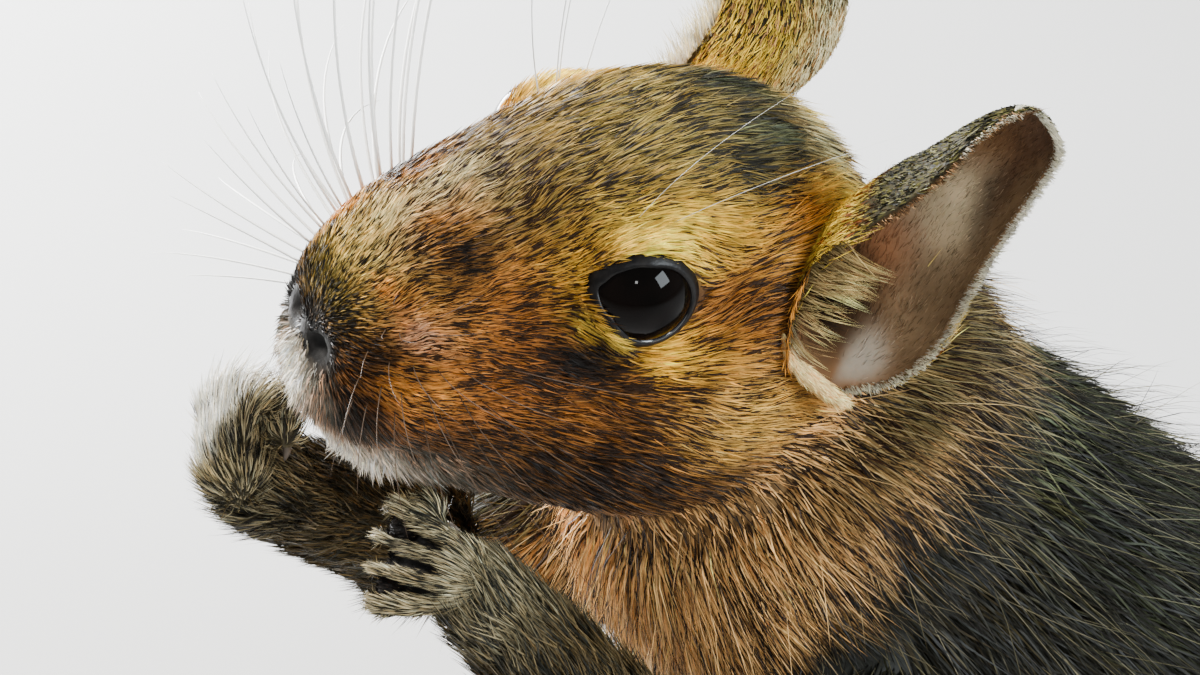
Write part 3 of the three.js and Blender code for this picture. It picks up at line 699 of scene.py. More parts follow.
def near(where, radii, broken=0.0):
    """1 at a place on the head, falling to nothing over its radii."""
    away = (front + broken * uneven - array(where)) / array(radii)
    return np.exp(-(away**2).sum(1))


LIPS = near((19.2, 2.4, -13.5), (3.2, 4.5, 3.0)) + near((14.5, 3.0, -18.5), (5.5, 5.0, 2.6))
LIPS = LIPS.clip(0, 1) * is_head

# Ears: the front and back edges and the depth of the cup between them, of the left one

EAR = {
    "opens": (0.3, 0.88, -0.36),
    "thick": 0.6,
    "round_from": 0.8,
    "front": [
        (-13.8, 13.4, -6.2), (-11.5, 12.8, -3.6), (-11.8, 11.4, 2.0), (-14.0, 12.4, 7.2),
        (-14.6, 15.0, 11.9), (-15.2, 16.8, 16.2), (-15.9, 17.3, 19.2), (-17.0, 17.2, 21.8),
    ],
    "back": [
        (-16.4, 14.4, -6.6), (-19.5, 15.9, -4.4), (-21.4, 16.4, -1.0), (-22.8, 15.6, 3.0),
        (-23.8, 15.6, 8.3), (-24.2, 16.5, 13.8), (-23.9, 17.5, 17.6), (-23.0, 17.8, 20.6),
    ],
    "deep": [2, 5, 7, 7.2, 6, 4.6, 3, 1.8],
}
EAR_ROWS = 72
EAR_COLUMNS = 56
EAR_HEIGHTS = np.linspace(-0.05, 1, EAR_ROWS)
EAR_INWARD = -unit(array(EAR["opens"]))
EAR_REACH = 16.0


def ear_sections(v):
    """Middle, half width and depth of the left ear at heights v, in the head's frame."""
    front_edge, back_edge, deep = (along(EAR[key], v) for key in ("front", "back", "deep"))
    rounding = np.sqrt(1 - (np.clip((v - EAR["round_from"]) / (1.02 - EAR["round_from"]), 0, 1)) ** 2)
    return (front_edge + back_edge) / 2, (front_edge - back_edge) / 2 * rounding[:, None], deep * rounding


def ear_grid(side, v, inset):
    """Points across an ear at heights v, inset from its outer face."""
    middle, half, deep = ear_sections(v)
    width = np.linalg.norm(half, axis=1)
    narrow = np.maximum(width - inset, width * 0.3) / np.maximum(width, 1e-6)
    depth = np.maximum(deep - inset, deep * 0.35)
    angle = np.linspace(0, math.pi, EAR_COLUMNS)
    across = half[:, None] * (np.cos(angle)[None] * narrow[:, None])[..., None]
    grid = middle[:, None] + across + EAR_INWARD * (np.sin(angle)[None] * depth[:, None])[..., None]
    return from_head(mirrored(grid.reshape(-1, 3), side)).reshape(grid.shape)


def in_ear_cup(p, share=1.0):
    """True for each point in the hollow of either ear, or within a share of its width."""
    p = in_head(p) * 1.0
    p[:, 1] = np.abs(p[:, 1])
    middle, half, deep = ear_sections(EAR_HEIGHTS)
    width = np.linalg.norm(half, axis=1)
    across = unit(half)
    rise = unit(np.cross(EAR_INWARD, across))
    made = np.zeros(len(p), bool)
    close = np.flatnonzero(np.linalg.norm(p - middle.mean(0), axis=1) < EAR_REACH)
    away = p[close][:, None] - middle
    row = np.abs((away * rise).sum(2)).argmin(1)
    away = away[np.arange(len(close)), row]
    aside = (away * across[row]).sum(1) / width[row]
    inward = (away @ EAR_INWARD) / deep[row]
    level = np.abs((away * rise[row]).sum(1)) < 0.5
    made[close] = level & (aside**2 + inward**2 < share**2) & (inward > -0.08)
    return made


# How the coat lies

NOSE_SOURCE = array([24.5, 0, -9.6])
SPINE = array([
    (-18, 0, 9.8), (-10.5, 0, 13.2), (-1, 0, 21.7), (9.5, 0, 35), (19, 0, 49.5), (27.5, 0, 63), (34, 0, 75.5),
])
LIES = {"neck": (-0.62, 0, -0.78), "thigh": (-0.45, 0, -0.9), "shank": (0.3, 0, -0.9), "foot": (1, 0, -0.1)}


def spine_direction(p):
    """The way from neck to rump along the spine nearest each point."""
    away = np.linalg.norm(p[:, None] - SPINE[None], axis=2)
    share = np.exp(-((away / 14) ** 2))
    slopes = -np.gradient(SPINE, axis=0)
    return unit((share[..., None] * slopes[None]).sum(1) + 1e-9)


def lie_of_coat():
    """The way in which the hairs lie at each point of the flesh."""
    flow = np.zeros((len(points), 3))
    for name, way in LIES.items():
        flow[of_parts(name)] = unit(array(way))
    from_nose = unit(front - NOSE_SOURCE)
    away = front - array(EYE["at"])
    distance = np.linalg.norm(away, axis=1, keepdims=True)
    outward = away / distance
    around = (5.2 / distance) ** 2 * np.exp(-((distance / 11) ** 2))
    from_nose = unit(from_nose - 1.3 * around * (from_nose * outward).sum(1, keepdims=True) * outward)
    head_flow = from_nose * np.where(head_points[:, 1:2] < 0, array([1, -1, 1]), 1) @ HEAD_TURN.T
    head_flow = mix(head_flow, array([0.55, 0, -0.85]) @ HEAD_TURN.T, 0.75 * LIPS)
    head, torso, tail = (of_parts(name) for name in ("head", "torso", "tail"))
    flow[head] = head_flow[head]
    flow[torso] = spine_direction(points[torso])
    for name, side in SIDES.items():
        hand = HANDS[name]
        this = points[:, 1] * side > 0
        wrist, elbow = array(hand["wrist"]), array(hand["elbow"])
        flow[this & of_parts("arm")] = unit(elbow - mirrored(SHOULDER, side))
        flow[this & of_parts("forearm")] = unit(wrist - elbow)
        paw = this & of_parts("paw")
        ahead, down = unit(array(hand["points"])), -unit(array(hand["back"]))
        bend = ramp((points[paw] - wrist) @ ahead, *hand["hair_bends"])
        flow[paw] = mix(ahead, unit(ahead * 0.2 + down), bend)
    core = along(TAIL, np.linspace(0, 1, 60))
    flow[tail] = headings(core)[nearest_of(core, points[tail])]
    for _ in range(4):
        flow = unit(blur.rounds(flow, 8))
        flow = unit(flow - (flow * normals).sum(1, keepdims=True) * normals + 1e-6)
    return flow


flow = lie_of_coat()


def mouth_distance():
    path = along([*MOUTH, *[mirrored(p, -1) for p in MOUTH[-2::-1]]], np.linspace(0, 1, 60))
    close = (is_head > 0.4) & (head_points[:, 0] > 6)
    distance = np.full(len(points), 99.0)
    away = np.linalg.norm(head_points[close][:, None] - path[None], axis=2)
    distance[close] = away.min(1)
    return distance


mouth_away = mouth_distance()

# Forward place on the head and the hairs' length there
LENGTHS_ON_HEAD = [(-22, 5.5), (-14, 4.2), (-6, 3.2), (2, 2.4), (10, 1.9), (16, 1.35), (21, 0.9)]


def coat_fields():
    keys = ("long", "wide", "deep", "dense", "lift")
    fields = dict(zip(keys, blur.rounds(by_part[:, 1:], 14).T.copy()))
    on_head = np.interp(front[:, 0], *array(LENGTHS_ON_HEAD).T)
    around_eye = near(EYE["at"], (6, 6, 6))
    for key, share, bare_by_eye in (("long", 1.0, 0.55), ("deep", 0.27, 0.6)):
        fields[key] = mix(fields[key], on_head * share, is_head) * (1 - bare_by_eye * around_eye)
    fields["dense"] *= 1 + is_head * ramp(front[:, 0], 0, 14) * 0.8
    fields["long"] += 2.4 * LIPS
    fields["long"] *= 1 - 0.5 * near((20.5, 1.8, -9.2), (2.0, 2.6, 2.0))
    fields["lift"] += 28 * LIPS
    fields["long"] *= 1 - 0.55 * np.exp(-((mouth_away / 1.5) ** 2))
    fluffy = blur.rounds((of_parts("paw") & (points[:, 1] < 0)).astype(float), 10)
    fields["long"] += (0.7 + 1.5 * ramp(normals[:, 2], 0.1, 0.9)) * fluffy
    fields["lift"] += 20 * fluffy
    fields["long"] *= 1 - 0.7 * cleft
    fields["lift"] *= 1 - 0.6 * cleft
    return fields


coat = coat_fields()


# Markings: each point's light and dark hair colour and the share of dark hairs


def colour(r, g, b):
    """A linear colour from display values of 0 to 255."""
    v = array([r, g, b]) / 255
    return np.where(v < 0.04045, v / 12.92, ((v + 0.055) / 1.055) ** 2.4)


OLIVE = colour(190, 160, 72)
GOLD = colour(240, 190, 92)
RUST = colour(178, 104, 44)
ORANGE = colour(206, 134, 54)
STRAW = colour(255, 226, 126)
CREAM = colour(240, 222, 172)
SILVER = colour(222, 214, 190)
WHITE = colour(246, 242, 230)
MUD = colour(106, 88, 56)
BODY_OLIVE = colour(96, 84, 52)
BLACK = colour(24, 20, 17)
UMBER = colour(48, 31, 19)
SLATE = colour(40, 39, 32)
PINK = colour(222, 160, 116)
HONEY = colour(255, 214, 78)
AMBER = colour(230, 172, 50)
TAN = colour(228, 172, 104)
MOSS = colour(82, 88, 60)
SAGE = colour(158, 148, 76)
PALE_STRAW = colour(236, 226, 168)

# Light and dark hair colours and the share of dark hairs of each part, in the order of PARTS
TONES = {
    "head": (ORANGE * 0.8, UMBER, 0.35),
    "neck": (TAN, BLACK, 0.4),
    "torso": (BODY_OLIVE, SLATE, 0.55),
    "arm": (MUD, SLATE, 0.5),
    "forearm": (MUD, SLATE, 0.5),
    "paw": (CREAM * 0.55, SLATE, 0.42),
    "thigh": (BODY_OLIVE, SLATE, 0.5),
    "shank": (MUD, SLATE, 0.4),
    "foot": (SILVER, SLATE, 0.15),
    "tail": (MUD, BLACK, 0.6),
}
# On the head: the place and reach of each mark, then what it does to light, dark and share
MARKS = [
    ((0, 2, 9), (9, 6, 5), SAGE * 0.9, SLATE, 0.46),
    ((9, 4, 5), (5, 5, 3), OLIVE * 0.34, UMBER, 0.6),
    ((14.6, 3.2, 1.8), (2.4, 2.4, 2.0), ORANGE, UMBER, 0.42),
    ((-5, 6.5, 7.4), (4, 3, 3), OLIVE * 0.5, SLATE, 0.5),
    ((15, 0, 2.5), (6, 3.2, 3.6), PALE_STRAW, UMBER, 0.16),
    ((19, 0, -3), (4, 5, 3), STRAW * 0.9, SLATE, 0.28),
    ((16.6, 6.6, -5), (4, 4, 3), ORANGE * 1.1, UMBER, 0.34),
    ((14, 8, -9), (6, 5, 4), RUST, UMBER, 0.4),
    ((8.5, 8.8, -3.5), (4.5, 4, 3.5), RUST * 0.66, UMBER, 0.54),
    ((9, 9.5, -7.5), (5, 5, 3), RUST * 0.58, UMBER, 0.58),
    ((5.4, 8.6, 0.8), (2.4, 3, 2.4), AMBER, UMBER, 0.22),
    ((-21, 4, 2), (4, 12, 8), BODY_OLIVE * 1.5, UMBER, 0.45),
    ((-7, 11.4, 0.5), (3.2, 4, 3), RUST * 0.55, UMBER, 0.6),
    ((-10.4, 9.2, 4.4), (4.2, 4, 3.2), AMBER * 1.1, UMBER, 0.18),
    ((0.5, 12.5, -10), (4.5, 4, 3.4), RUST * 0.42, UMBER, 0.68),
    ((-7, 14, -9.5), (4.5, 4, 3.2), GOLD * 0.9, UMBER, 0.3),
    # The next four dark marks, low on the cheeks and under the jaw, are partly the dark cheek fur and partly
    # painted shade under the head
    ((3, 11.5, -15), (6, 5, 3.2), UMBER * 0.8, BLACK, 0.85),
    ((12, 8.5, -14), (5, 4, 2.6), UMBER * 0.9, BLACK, 0.8),
    ((-8, 13.5, -16.5), (6, 5, 3), UMBER * 1.1, BLACK, 0.75),
    ((6, 9, -19), (8, 5, 3.5), UMBER * 0.9, BLACK, 0.8),
    ((2, 0, -25), (14, 7, 4.5), SILVER, UMBER, 0.12),
]
# Smaller marks laid over those, one after the other
PATCHES = [
    ((19.6, 1.0, -5.0), (2.6, 3.4, 2.6), OLIVE * 0.5, SLATE, 0.5),
    ((-8.6, 3.0, 9), (4.4, 4.6, 4.0), MOSS * 0.8, SLATE, 0.6),
    ((-14.6, 0.6, 7.6), (2.2, 4.0, 2.0), PALE_STRAW * 0.7, SLATE, 0.2),
    ((14.4, 3.4, 1.6), (2.4, 1.9, 1.9), ORANGE * 0.8, UMBER, 0.42),
    ((-1.5, 10, 5.0), (5.4, 3.4, 2.0), AMBER * 0.85, UMBER, 0.18),
    ((1.4, 9.6, 5.0), (4.2, 3.0, 1.8), HONEY, UMBER, 0.02),
    ((-1.2, 12.2, -4.4), (3.2, 4, 1.3), AMBER * 1.1, UMBER, 0.08),
    ((3.4, 10.6, -2.3), (2.1, 3, 1.0), HONEY, UMBER, 0.05),
    ((5.0, 10.4, -4.9), (3.0, 3, 1.8), UMBER * 0.4, BLACK, 0.97),
    ((-10.4, 9.2, 4.4), (2.6, 3, 2.2), ORANGE * 1.2, UMBER, 0.22),
    ((-16.5, 6.4, 4.6), (3.6, 3.8, 3.8), STRAW * (1, 0.96, 0.7), UMBER, 0.06),
    ((13.7, 5.3, 0.6), (2.2, 1.9, 1.5), UMBER, BLACK, 0.7),
    ((17.2, 5.8, -3.0), (1.8, 2.2, 1.7), ORANGE * 1.2, UMBER, 0.22),
    ((16.0, 6.7, -4.6), (1.9, 2.2, 1.3), PINK, UMBER, 0.26),
    ((17.8, 6.3, -7.0), (1.8, 2.4, 1.5), UMBER * 1.6, BLACK, 0.6),
    ((15.6, 7.6, -9.0), (2.8, 2.4, 1.6), ORANGE, UMBER, 0.3),
    ((18.0, 5.2, -12.4), (2.6, 2.4, 2.6), UMBER * 1.3, BLACK, 0.7),
    ((20.4, 0, -12.8), (2.8, 2.8, 3.0), WHITE, SILVER, 0.0),
    ((15.5, 0, -19.6), (6.5, 6.4, 3.4), WHITE, SILVER, 0.02),
    # painted shade: these two black marks stand for the shadow in and round the nostrils
    ((19.5, 3.2, -9.0), (2.8, 2.0, 2.3), BLACK * 0.7, BLACK * 0.4, 0.9),
    ((21.0, 0.0, -8.8), (1.8, 3.2, 2.0), BLACK * 0.8, BLACK * 0.5, 0.85),
]


def markings():
    """The light and dark colour and the share of dark hairs at each point of the flesh."""
    # Light, dark and share as seven values a point
    tones = blur.rounds(array([np.hstack(tone) for tone in TONES.values()])[part], 24)
    weight = np.full((len(points), 1), 0.35)
    tones = tones * weight
    for where, radii, *to in MARKS:
        reach = (near(where, radii) * is_head)[:, None]
        weight = weight + reach
        tones = tones + np.hstack(to) * reach
    tones = tones / weight
    for where, radii, *to in PATCHES:
        reach = (1.15 * near(where, radii, 1.0)).clip(0, 1) * is_head
        tones = tones + (np.hstack(to) - tones) * reach[:, None]
    light, dark, share = tones[:, :3], tones[:, 3:6], tones[:, 6]
    x, y, z = points.T
    forward, _, upward = normals.T
    # Neck to body, and forearm to paw, fade into one another over some millimetres
    patchy = noise(points, 7.0, 21) * 4 + noise(points, 2.5, 22) * 2.5
    rearward = -0.75 * x + 0.8 * np.abs(y) - 0.6 * (z - 70)
    body = ramp(rearward + patchy * 0.6 + 2.5 * ramp(74 - z, 0, 6), -21, -10)
    trunk = blur.rounds(of_parts("neck", "torso", "arm") + 0.55 * of_parts("thigh"), 40)
    nape = ramp(upward, 0.3, 0.8)
    # painted shade: low on the flanks behind the arms the back's tone is darkened, as if shaded by the arms
    # and body
    painted_flank_shade = ramp(rearward, -19, -10) * ramp(76 - z, 0, 6) * mix(0.35, 1, ramp(z, 20, 50))
    back_tone = mix(BODY_OLIVE * 0.62, MOSS * 0.9, ramp(upward, 0.25, 0.6))
    back_tone = mix(back_tone, back_tone * 0.4, painted_flank_shade)
    light = mix(light, mix(mix(TAN * 1.1, BODY_OLIVE * 1.4, nape), back_tone, body), trunk)
    dark = mix(dark, mix(UMBER, SLATE * 0.7, body), trunk)
    share = mix(share, 0.24 + 0.18 * ramp(rearward, -29, -20) + 0.28 * body, trunk)
    throat = ramp(x, 51, 61) * ramp(forward, 0.1, 0.6) * trunk
    light, share = mix(light, SILVER, throat), mix(share, 0.15, throat)
    # painted highlight: the right forepaw's fur is made white where it faces the back light
    painted_highlight_on_paw = ramp(normals @ unit(VIEW_UP * 0.7 - VIEW_RIGHT * 0.8), 0.3, 0.8)
    painted_highlight_on_paw = painted_highlight_on_paw * (of_parts("paw") & (y < 0))
    light, share = mix(light, WHITE, painted_highlight_on_paw), mix(share, 0.03, painted_highlight_on_paw)
    for name, side in SIDES.items():
        away = np.linalg.norm(points - array(HANDS[name]["wrist"]), axis=1)
        sleeve = of_parts("forearm") & (y * side > 0) & (away + patchy * 0.4 > 2)
        tone = mix(CREAM * 0.42, MUD * 0.7, ramp(away + patchy * 0.5, 2, 12))
        light = mix(light, tone, sleeve.astype(float))
    # painted shade: the hair in the clefts between the fingers is darkened
    light, dark, share = mix(light, UMBER * 0.6, cleft), mix(dark, BLACK, cleft), mix(share, 0.9, cleft)
    belly = ramp(forward * 0.8 - upward * 0.6 - 0.35 * np.abs(normals[:, 1]), 0.35, 0.8)
    belly = blur.rounds(belly * ramp(-z, -62, -50) * of_parts("torso", "thigh", "arm"), 12)
    return mix(light, CREAM, belly), mix(dark, UMBER, belly), share * (1 - 0.7 * belly)


light, dark, dark_share = markings()


# The skin: shrunk by the coat's depth, open over the eyes, sunk at the nostrils, bare along the mouth, with
# painted shade in both

nostril_away = np.linalg.norm(front - array(NOSTRIL), axis=1)


def shaped_skin():
    made = points - normals * (coat["deep"] + 0.7 * cleft)[:, None]
    made = made - normals * (1.0 * np.exp(-((nostril_away / 1.0) ** 2)))[:, None]
    bare = np.zeros(len(points))
    for side in SIDES.values():
        facing, forward, upward = (a @ HEAD_TURN.T for a in eye_axes(side))
        centre = eye_centre(side)
        away = made - centre
        distance = np.linalg.norm(away, axis=1)
        way = away / distance[:, None]
        opened = lid_opening(np.arctan2(way @ upward, way @ forward))
        within = opened - np.arccos(np.clip(way @ facing, -1, 1))
        inside = ramp(within, -0.10, 0.04)
        close = (distance < SOCKET["reach"]) & of_parts("head")
        over = np.maximum(distance, EYE["radius"] + SOCKET["rim"])
        radius = mix(over, EYE["radius"] - SOCKET["sunk"], inside)
        made[close] = centre + way[close] * radius[close, None]
        bare[close] = np.maximum(bare[close], ramp(within, -0.10, -0.04)[close])
    return made, bare


skin_points, bare = shaped_skin()
bare = np.maximum(bare, 1 - ramp(mouth_away, 0.35, 0.75))
bare = np.maximum(bare, 1 - ramp(nostril_away, 1.5, 2.1))
NOSE_PAD = near((21.0, 0, -9.4), (2.0, 2.4, 1.7)) * is_head
bare = np.maximum(bare, ramp(NOSE_PAD, 0.75, 0.95))
skin_tint = mix(light, dark, np.clip(dark_share + 0.15, 0, 1)) * 0.5
skin_tint = mix(skin_tint, BLACK * 0.7, ramp(NOSE_PAD, 0.15, 0.4))
# painted shade: the skin along the mouth and in the nostrils is darkened to near black
hollow = np.maximum(1 - ramp(mouth_away, 0.3, 0.9), 1 - ramp(nostril_away, 1.2, 2.6))
skin_tint = mix(skin_tint, BLACK * 0.4, hollow)
ear_cup = blur.rounds(in_ear_cup(skin_points).astype(float), 2)
# painted shade: the head's skin inside each ear's hollow is made near black
skin_tint = mix(skin_tint, BLACK * 0.3, ear_cup)
bare = np.maximum(bare, ramp(ear_cup, 0.3, 0.7))
skin = piece("skin", (skin_points, quads, NO_TRIS), SKIN, skin_tint)
FLESH_NODES = [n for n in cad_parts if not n.startswith(("eye", "ear"))]
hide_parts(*FLESH_NODES)

normals = unit(blur.rounds(normals_of(skin_points, triangles), 3))


# The coat as blades: a root, a bend and a tip each

random = np.random.default_rng(11)


def sown(surface_points, tris, density):
    """Random roots over a surface: the triangle of each and its shares of the three corners."""
    a, b, c = (surface_points[tris[:, k]] for k in range(3))
    area = np.linalg.norm(np.cross(b - a, c - a), axis=1) / 2
    wanted = area * density[tris].mean(1)
    total = np.cumsum(wanted)
    count = int(total[-1])
    spots = (np.arange(count) + random.random(count)) / count * total[-1]
    chosen = np.searchsorted(total, spots).clip(0, len(tris) - 1)
    u, v = np.sqrt(random.random(count)), random.random(count)
    return chosen, np.stack([1 - u, u * (1 - v), u * v], axis=1)


def blades(root, normal, way, long, wide, lift, droop=0.35, roll=0.7):
    """Five points for each hair: two at its root, two at its bend and its tip."""
    count = len(root)
    across = unit(np.cross(normal, way))
    lift = lift[:, None]
    rising = np.cos(lift) * way + np.sin(lift) * normal
    lying = np.cos(lift * droop) * way + np.sin(lift * droop) * normal
    start = root - normal * (0.03 + 0.22 * long[:, None] * np.sin(lift))
    bend = start + rising * (long * 0.5)[:, None]
    tip = bend + lying * (long * 0.5)[:, None]
    turn = random.normal(0, roll, count)[:, None]
    side = (np.cos(turn) * across + np.sin(turn) * normal) * (wide / 2)[:, None]
    return np.stack([start - side, start + side, bend - side * 0.85, bend + side * 0.85, tip], axis=1)


def bowed(root, way, bend_to, long, stations=5):
    """Paths that leave their roots along way and turn towards bend_to, (hairs, stations, 3)."""
    t = np.linspace(0, 1, stations)[None, :, None]
    heading = unit(mix(np.broadcast_to(way[:, None], (len(way), stations, 3)), bend_to[:, None], t[0, :, 0]))
    steps = heading[:, :-1] * (long / (stations - 1))[:, None, None]
    return np.concatenate([root[:, None], root[:, None] + np.cumsum(steps, axis=1)], axis=1)


def ribbons(path, across, wide):
    """Flat tapering strands along paths: two points at each station and one at the tip."""
    narrowing = np.linspace(1, 0.5, path.shape[1] - 1)
    side = across[:, None] * (wide[:, None] / 2 * narrowing)[..., None]
    body = np.stack([path[:, :-1] - side, path[:, :-1] + side], axis=2)
    return np.concatenate([body.reshape(len(path), -1, 3), path[:, -1:]], axis=1)


def turned_in_plane(way, normal, angle):
    angle = angle[:, None]
    return np.cos(angle) * way + np.sin(angle) * np.cross(normal, way)


def unrolled(p, start, end):
    """Places on a cylinder's unwrap round the line from start to end, from 0 to 1."""
    axis = unit(array(end) - array(start))
    side = unit(np.cross(axis, [0.02, 1.0, 0.01]))
    other = np.cross(axis, side)
    away = p - array(start)
    u = np.arctan2(away @ other, away @ side)
    v = away @ axis
    flat = np.stack([u, v], axis=1)
    low, high = flat.min(0), flat.max(0)
    return 0.01 + 0.97 * (flat - low) / np.maximum(high - low, 1e-6)


TRIANGLES_A_PIECE = 190000
PATCH = 0.003


def coat_piece(name, hairs, tints, axis, material=HAIR):
    """Coat pieces, each small enough, from hairs of two points a station and one at the tip."""
    each = hairs.shape[1]
    stations = (each - 1) // 2
    root = hairs[:, :2].mean(1)
    turn = unrolled(root, *axis)[:, 0]
    parts = math.ceil(len(hairs) * (each - 2) / TRIANGLES_A_PIECE)
    first_quad = np.arange(stations - 1)[:, None] * 2 + [0, 1, 3, 2]
    level = np.repeat(np.arange(stations + 1), 2)[:each] / stations
    corners = np.stack([np.append(np.tile([0, 1], stations), 0.5), level], axis=1) * PATCH
    for k, chosen in enumerate(np.array_split(np.argsort(turn, kind="stable"), parts)):
        first = np.arange(len(chosen)) * each
        patch = unrolled(root[chosen], *axis)[:, None] + corners
        made = piece(
            f"{name}_{k + 1}" if parts > 1 else name,
            (
                hairs[chosen].reshape(-1, 3),
                (first[:, None, None] + first_quad).reshape(-1, 4),
                first[:, None] + [each - 3, each - 2, each - 1],
            ),
            material,
            tints[chosen].reshape(-1, 3),
            patch.reshape(-1, 2),
        )


def hair_tints(light, dark, share, root):
    """Banded colours along each hair, some of them dark all over."""
    count = len(root)
    clump = noise(root, 2.2, 5) * 0.28 + noise(root, 0.8, 6) * 0.2
    is_dark = random.random(count) < np.clip(share + clump, 0, 1)
    brightness = np.exp(random.normal(0, 0.22, count) + noise(root, 1.6, 8) * 0.2)[:, None]
    hue = random.normal(0, 0.07, count)[:, None] * array([1.0, 0.1, -1.0]) + 1
    body = np.where(is_dark[:, None], dark, light) * brightness * hue
    # the roots are darker: partly the grey undercoat, partly painted shade of the coat's depth
    base = mix(dark, light, 0.35) * 0.4
    tip = np.where(is_dark[:, None], dark * 0.7, mix(body, dark, random.random(count) * 0.55))
    return np.stack([base, base, body, body, tip], axis=1).clip(0, 1)


AXES = {
    "head": (from_head([22, 0, -8]), from_head([-24, 0, -8])),
    "trunk": ((-6, 0, 4), (36, 0, 80)),
    "tail": (TAIL[0], TAIL[-1]),
    "paws": ((68, -8, 70), (64, 6, 80)),
    "feet": ((-4, 0, 3), (36, 0, 3)),
}


def spots(parts, thin=1.0):
    """A reader of the fields at random roots on the skin of some parts, and the roots and normals."""
    tris = triangles[np.isin(part[triangles].max(1), [NUMBER[name] for name in parts])]
    chosen, shares = sown(skin_points, tris, coat["dense"] * (1 - bare) * thin)
    corner = tris[chosen]

    def at(field):
        rows = field[corner]
        return (rows * (shares[..., None] if rows.ndim == 3 else shares)).sum(1)

    return at, at(skin_points), unit(at(normals))


def grow_coat(name, parts, axis):
    at, root, normal = spots(parts)
    count = len(root)
    way = flattened(at(flow), normal)
    swirl = noise(root, 2.4, 1) * 0.35 + noise(root, 0.9, 2) * 0.25 + random.normal(0, 0.12, count)
    swirl *= 0.4 if parts == ["paw"] else 1
    way = turned_in_plane(way, normal, swirl)
    lift = np.radians(at(coat["lift"])) * (1 + 0.45 * noise(root, 1.3, 3) + random.normal(0, 0.22, count))
    long = at(coat["long"])
    long = long * (1 + 0.2 * noise(root, 1.7, 4) + random.normal(0, 0.16, count)).clip(0.45, 1.7)
    hairs = blades(root, normal, way, long, at(coat["wide"]), lift.clip(0.03, 1.2))
    hairs[..., 2] = np.maximum(hairs[..., 2], LOWEST["hair"])
    tints = hair_tints(at(light), at(dark), at(dark_share), root)
    clear = ~in_ear_cup(hairs[:, 2:].reshape(-1, 3)).reshape(-1, 3).any(1)
    coat_piece(name, hairs[clear], tints[clear], axis)


grow_coat("coat_head", ["head"], AXES["head"])
grow_coat("coat_neck", ["neck"], AXES["trunk"])
grow_coat("coat_torso", ["torso"], AXES["trunk"])
grow_coat("coat_arms", ["arm", "forearm"], AXES["trunk"])
grow_coat("coat_paws", ["paw"], AXES["paws"])
grow_coat("coat_legs", ["thigh", "shank"], AXES["trunk"])
grow_coat("coat_feet", ["foot"], AXES["feet"])
grow_coat("coat_tail", ["tail"], AXES["tail"])


GUARD = {"parts": ("neck", "torso", "arm", "thigh"), "thin": 0.06, "long": (1.2, 1.75), "wide": (0.07, 0.11)}
PALE_GUARDS = 0.4


def grow_guard_hairs():
    """Longer and finer hairs, pale or black, that stand out of the coat of neck and body."""
    at, root, normal = spots(GUARD["parts"], GUARD["thin"])
    count = len(root)
    way = flattened(at(flow), normal)
    way = turned_in_plane(way, normal, random.normal(0, 0.25, count))
    lift = np.radians(at(coat["lift"]) * 1.15 + random.normal(0, 6, count)).clip(0.1, 1.0)[:, None]
    long = at(coat["long"]) * random.uniform(*GUARD["long"], count)
    path = bowed(root, np.cos(lift) * way + np.sin(lift) * normal, unit(way + normal * 0.12), long, 4)
    path[..., 2] = np.maximum(path[..., 2], LOWEST["guard"])
    turn = random.uniform(-1, 1, count)[:, None]
    across = unit(np.cross(normal, way) + normal * turn)
    hairs = ribbons(path, across, random.uniform(*GUARD["wide"], count))
    pale = (random.random(count) < PALE_GUARDS)[:, None]
    body = np.where(pale, mix(at(light), CREAM, 0.1), BLACK) * np.exp(random.normal(0, 0.2, count))[:, None]
    tip = np.where(pale, body * 0.9, BLACK * 0.8)
    tints = np.stack([body * 0.5, body * 0.5, body * 0.9, body * 0.9, body, body, tip], axis=1)
    coat_piece("coat_guard_hairs", hairs, tints.clip(0, 1), AXES["trunk"])


grow_guard_hairs()


def tail_place(p):
    """Share of the way from the tail's root to its tip, and the direction there."""
    core = along(TAIL, np.linspace(0, 1, 100))
    nearest = nearest_of(core, p)
    return nearest / 99, headings(core)[nearest]


# Where the brush starts and is full, as shares of the tail, and the length of its hairs there
BRUSH = {"from": 0.60, "full": 0.78, "dense": 7.0, "wide": (0.16, 0.26), "brown": 0.18}
BRUSH_LONG = ([BRUSH["from"], BRUSH["full"], 0.93, 1.0], [4, 13, 15, 11])


def grow_brush():
    """The black bristly tuft round the last part of the tail."""
    tail = of_parts("tail")
    share = np.zeros(len(points))
    share[tail] = tail_place(points[tail])[0]
    wanted = BRUSH["dense"] * ramp(share, BRUSH["from"] - 0.06, BRUSH["full"]) / np.maximum(coat["dense"], 1)
    at, root, normal = spots(["tail"], wanted)
    count = len(root)
    t, ahead = tail_place(root)
    side = unit(normal - (normal * ahead).sum(1, keepdims=True) * ahead)
    lift = np.radians(random.normal(17, 5, count)).clip(0.1, 0.6)[:, None]
    way = unit(np.cos(lift) * ahead + np.sin(lift) * side + random.normal(0, 0.05, (count, 3)))
    long = np.interp(t, *BRUSH_LONG) * random.uniform(0.75, 1.1, count)
    path = bowed(root, way, unit(ahead + side * 0.08), long, 5)
    path[..., 2] = np.maximum(path[..., 2], LOWEST["brush"])
    across = unit(np.cross(side, way) + side * random.uniform(-1, 1, count)[:, None])
    hairs = ribbons(path, across, random.uniform(*BRUSH["wide"], count))
    brown = (random.random(count) < BRUSH["brown"])[:, None]
    body = np.where(brown, UMBER, BLACK * 0.7) * np.exp(random.normal(0, 0.25, count))[:, None]
    tints = np.repeat(body[:, None], 9, axis=1)
    coat_piece("tail_brush", hairs, tints.clip(0, 1), AXES["tail"])


grow_brush()


# Whiskers and brow hairs

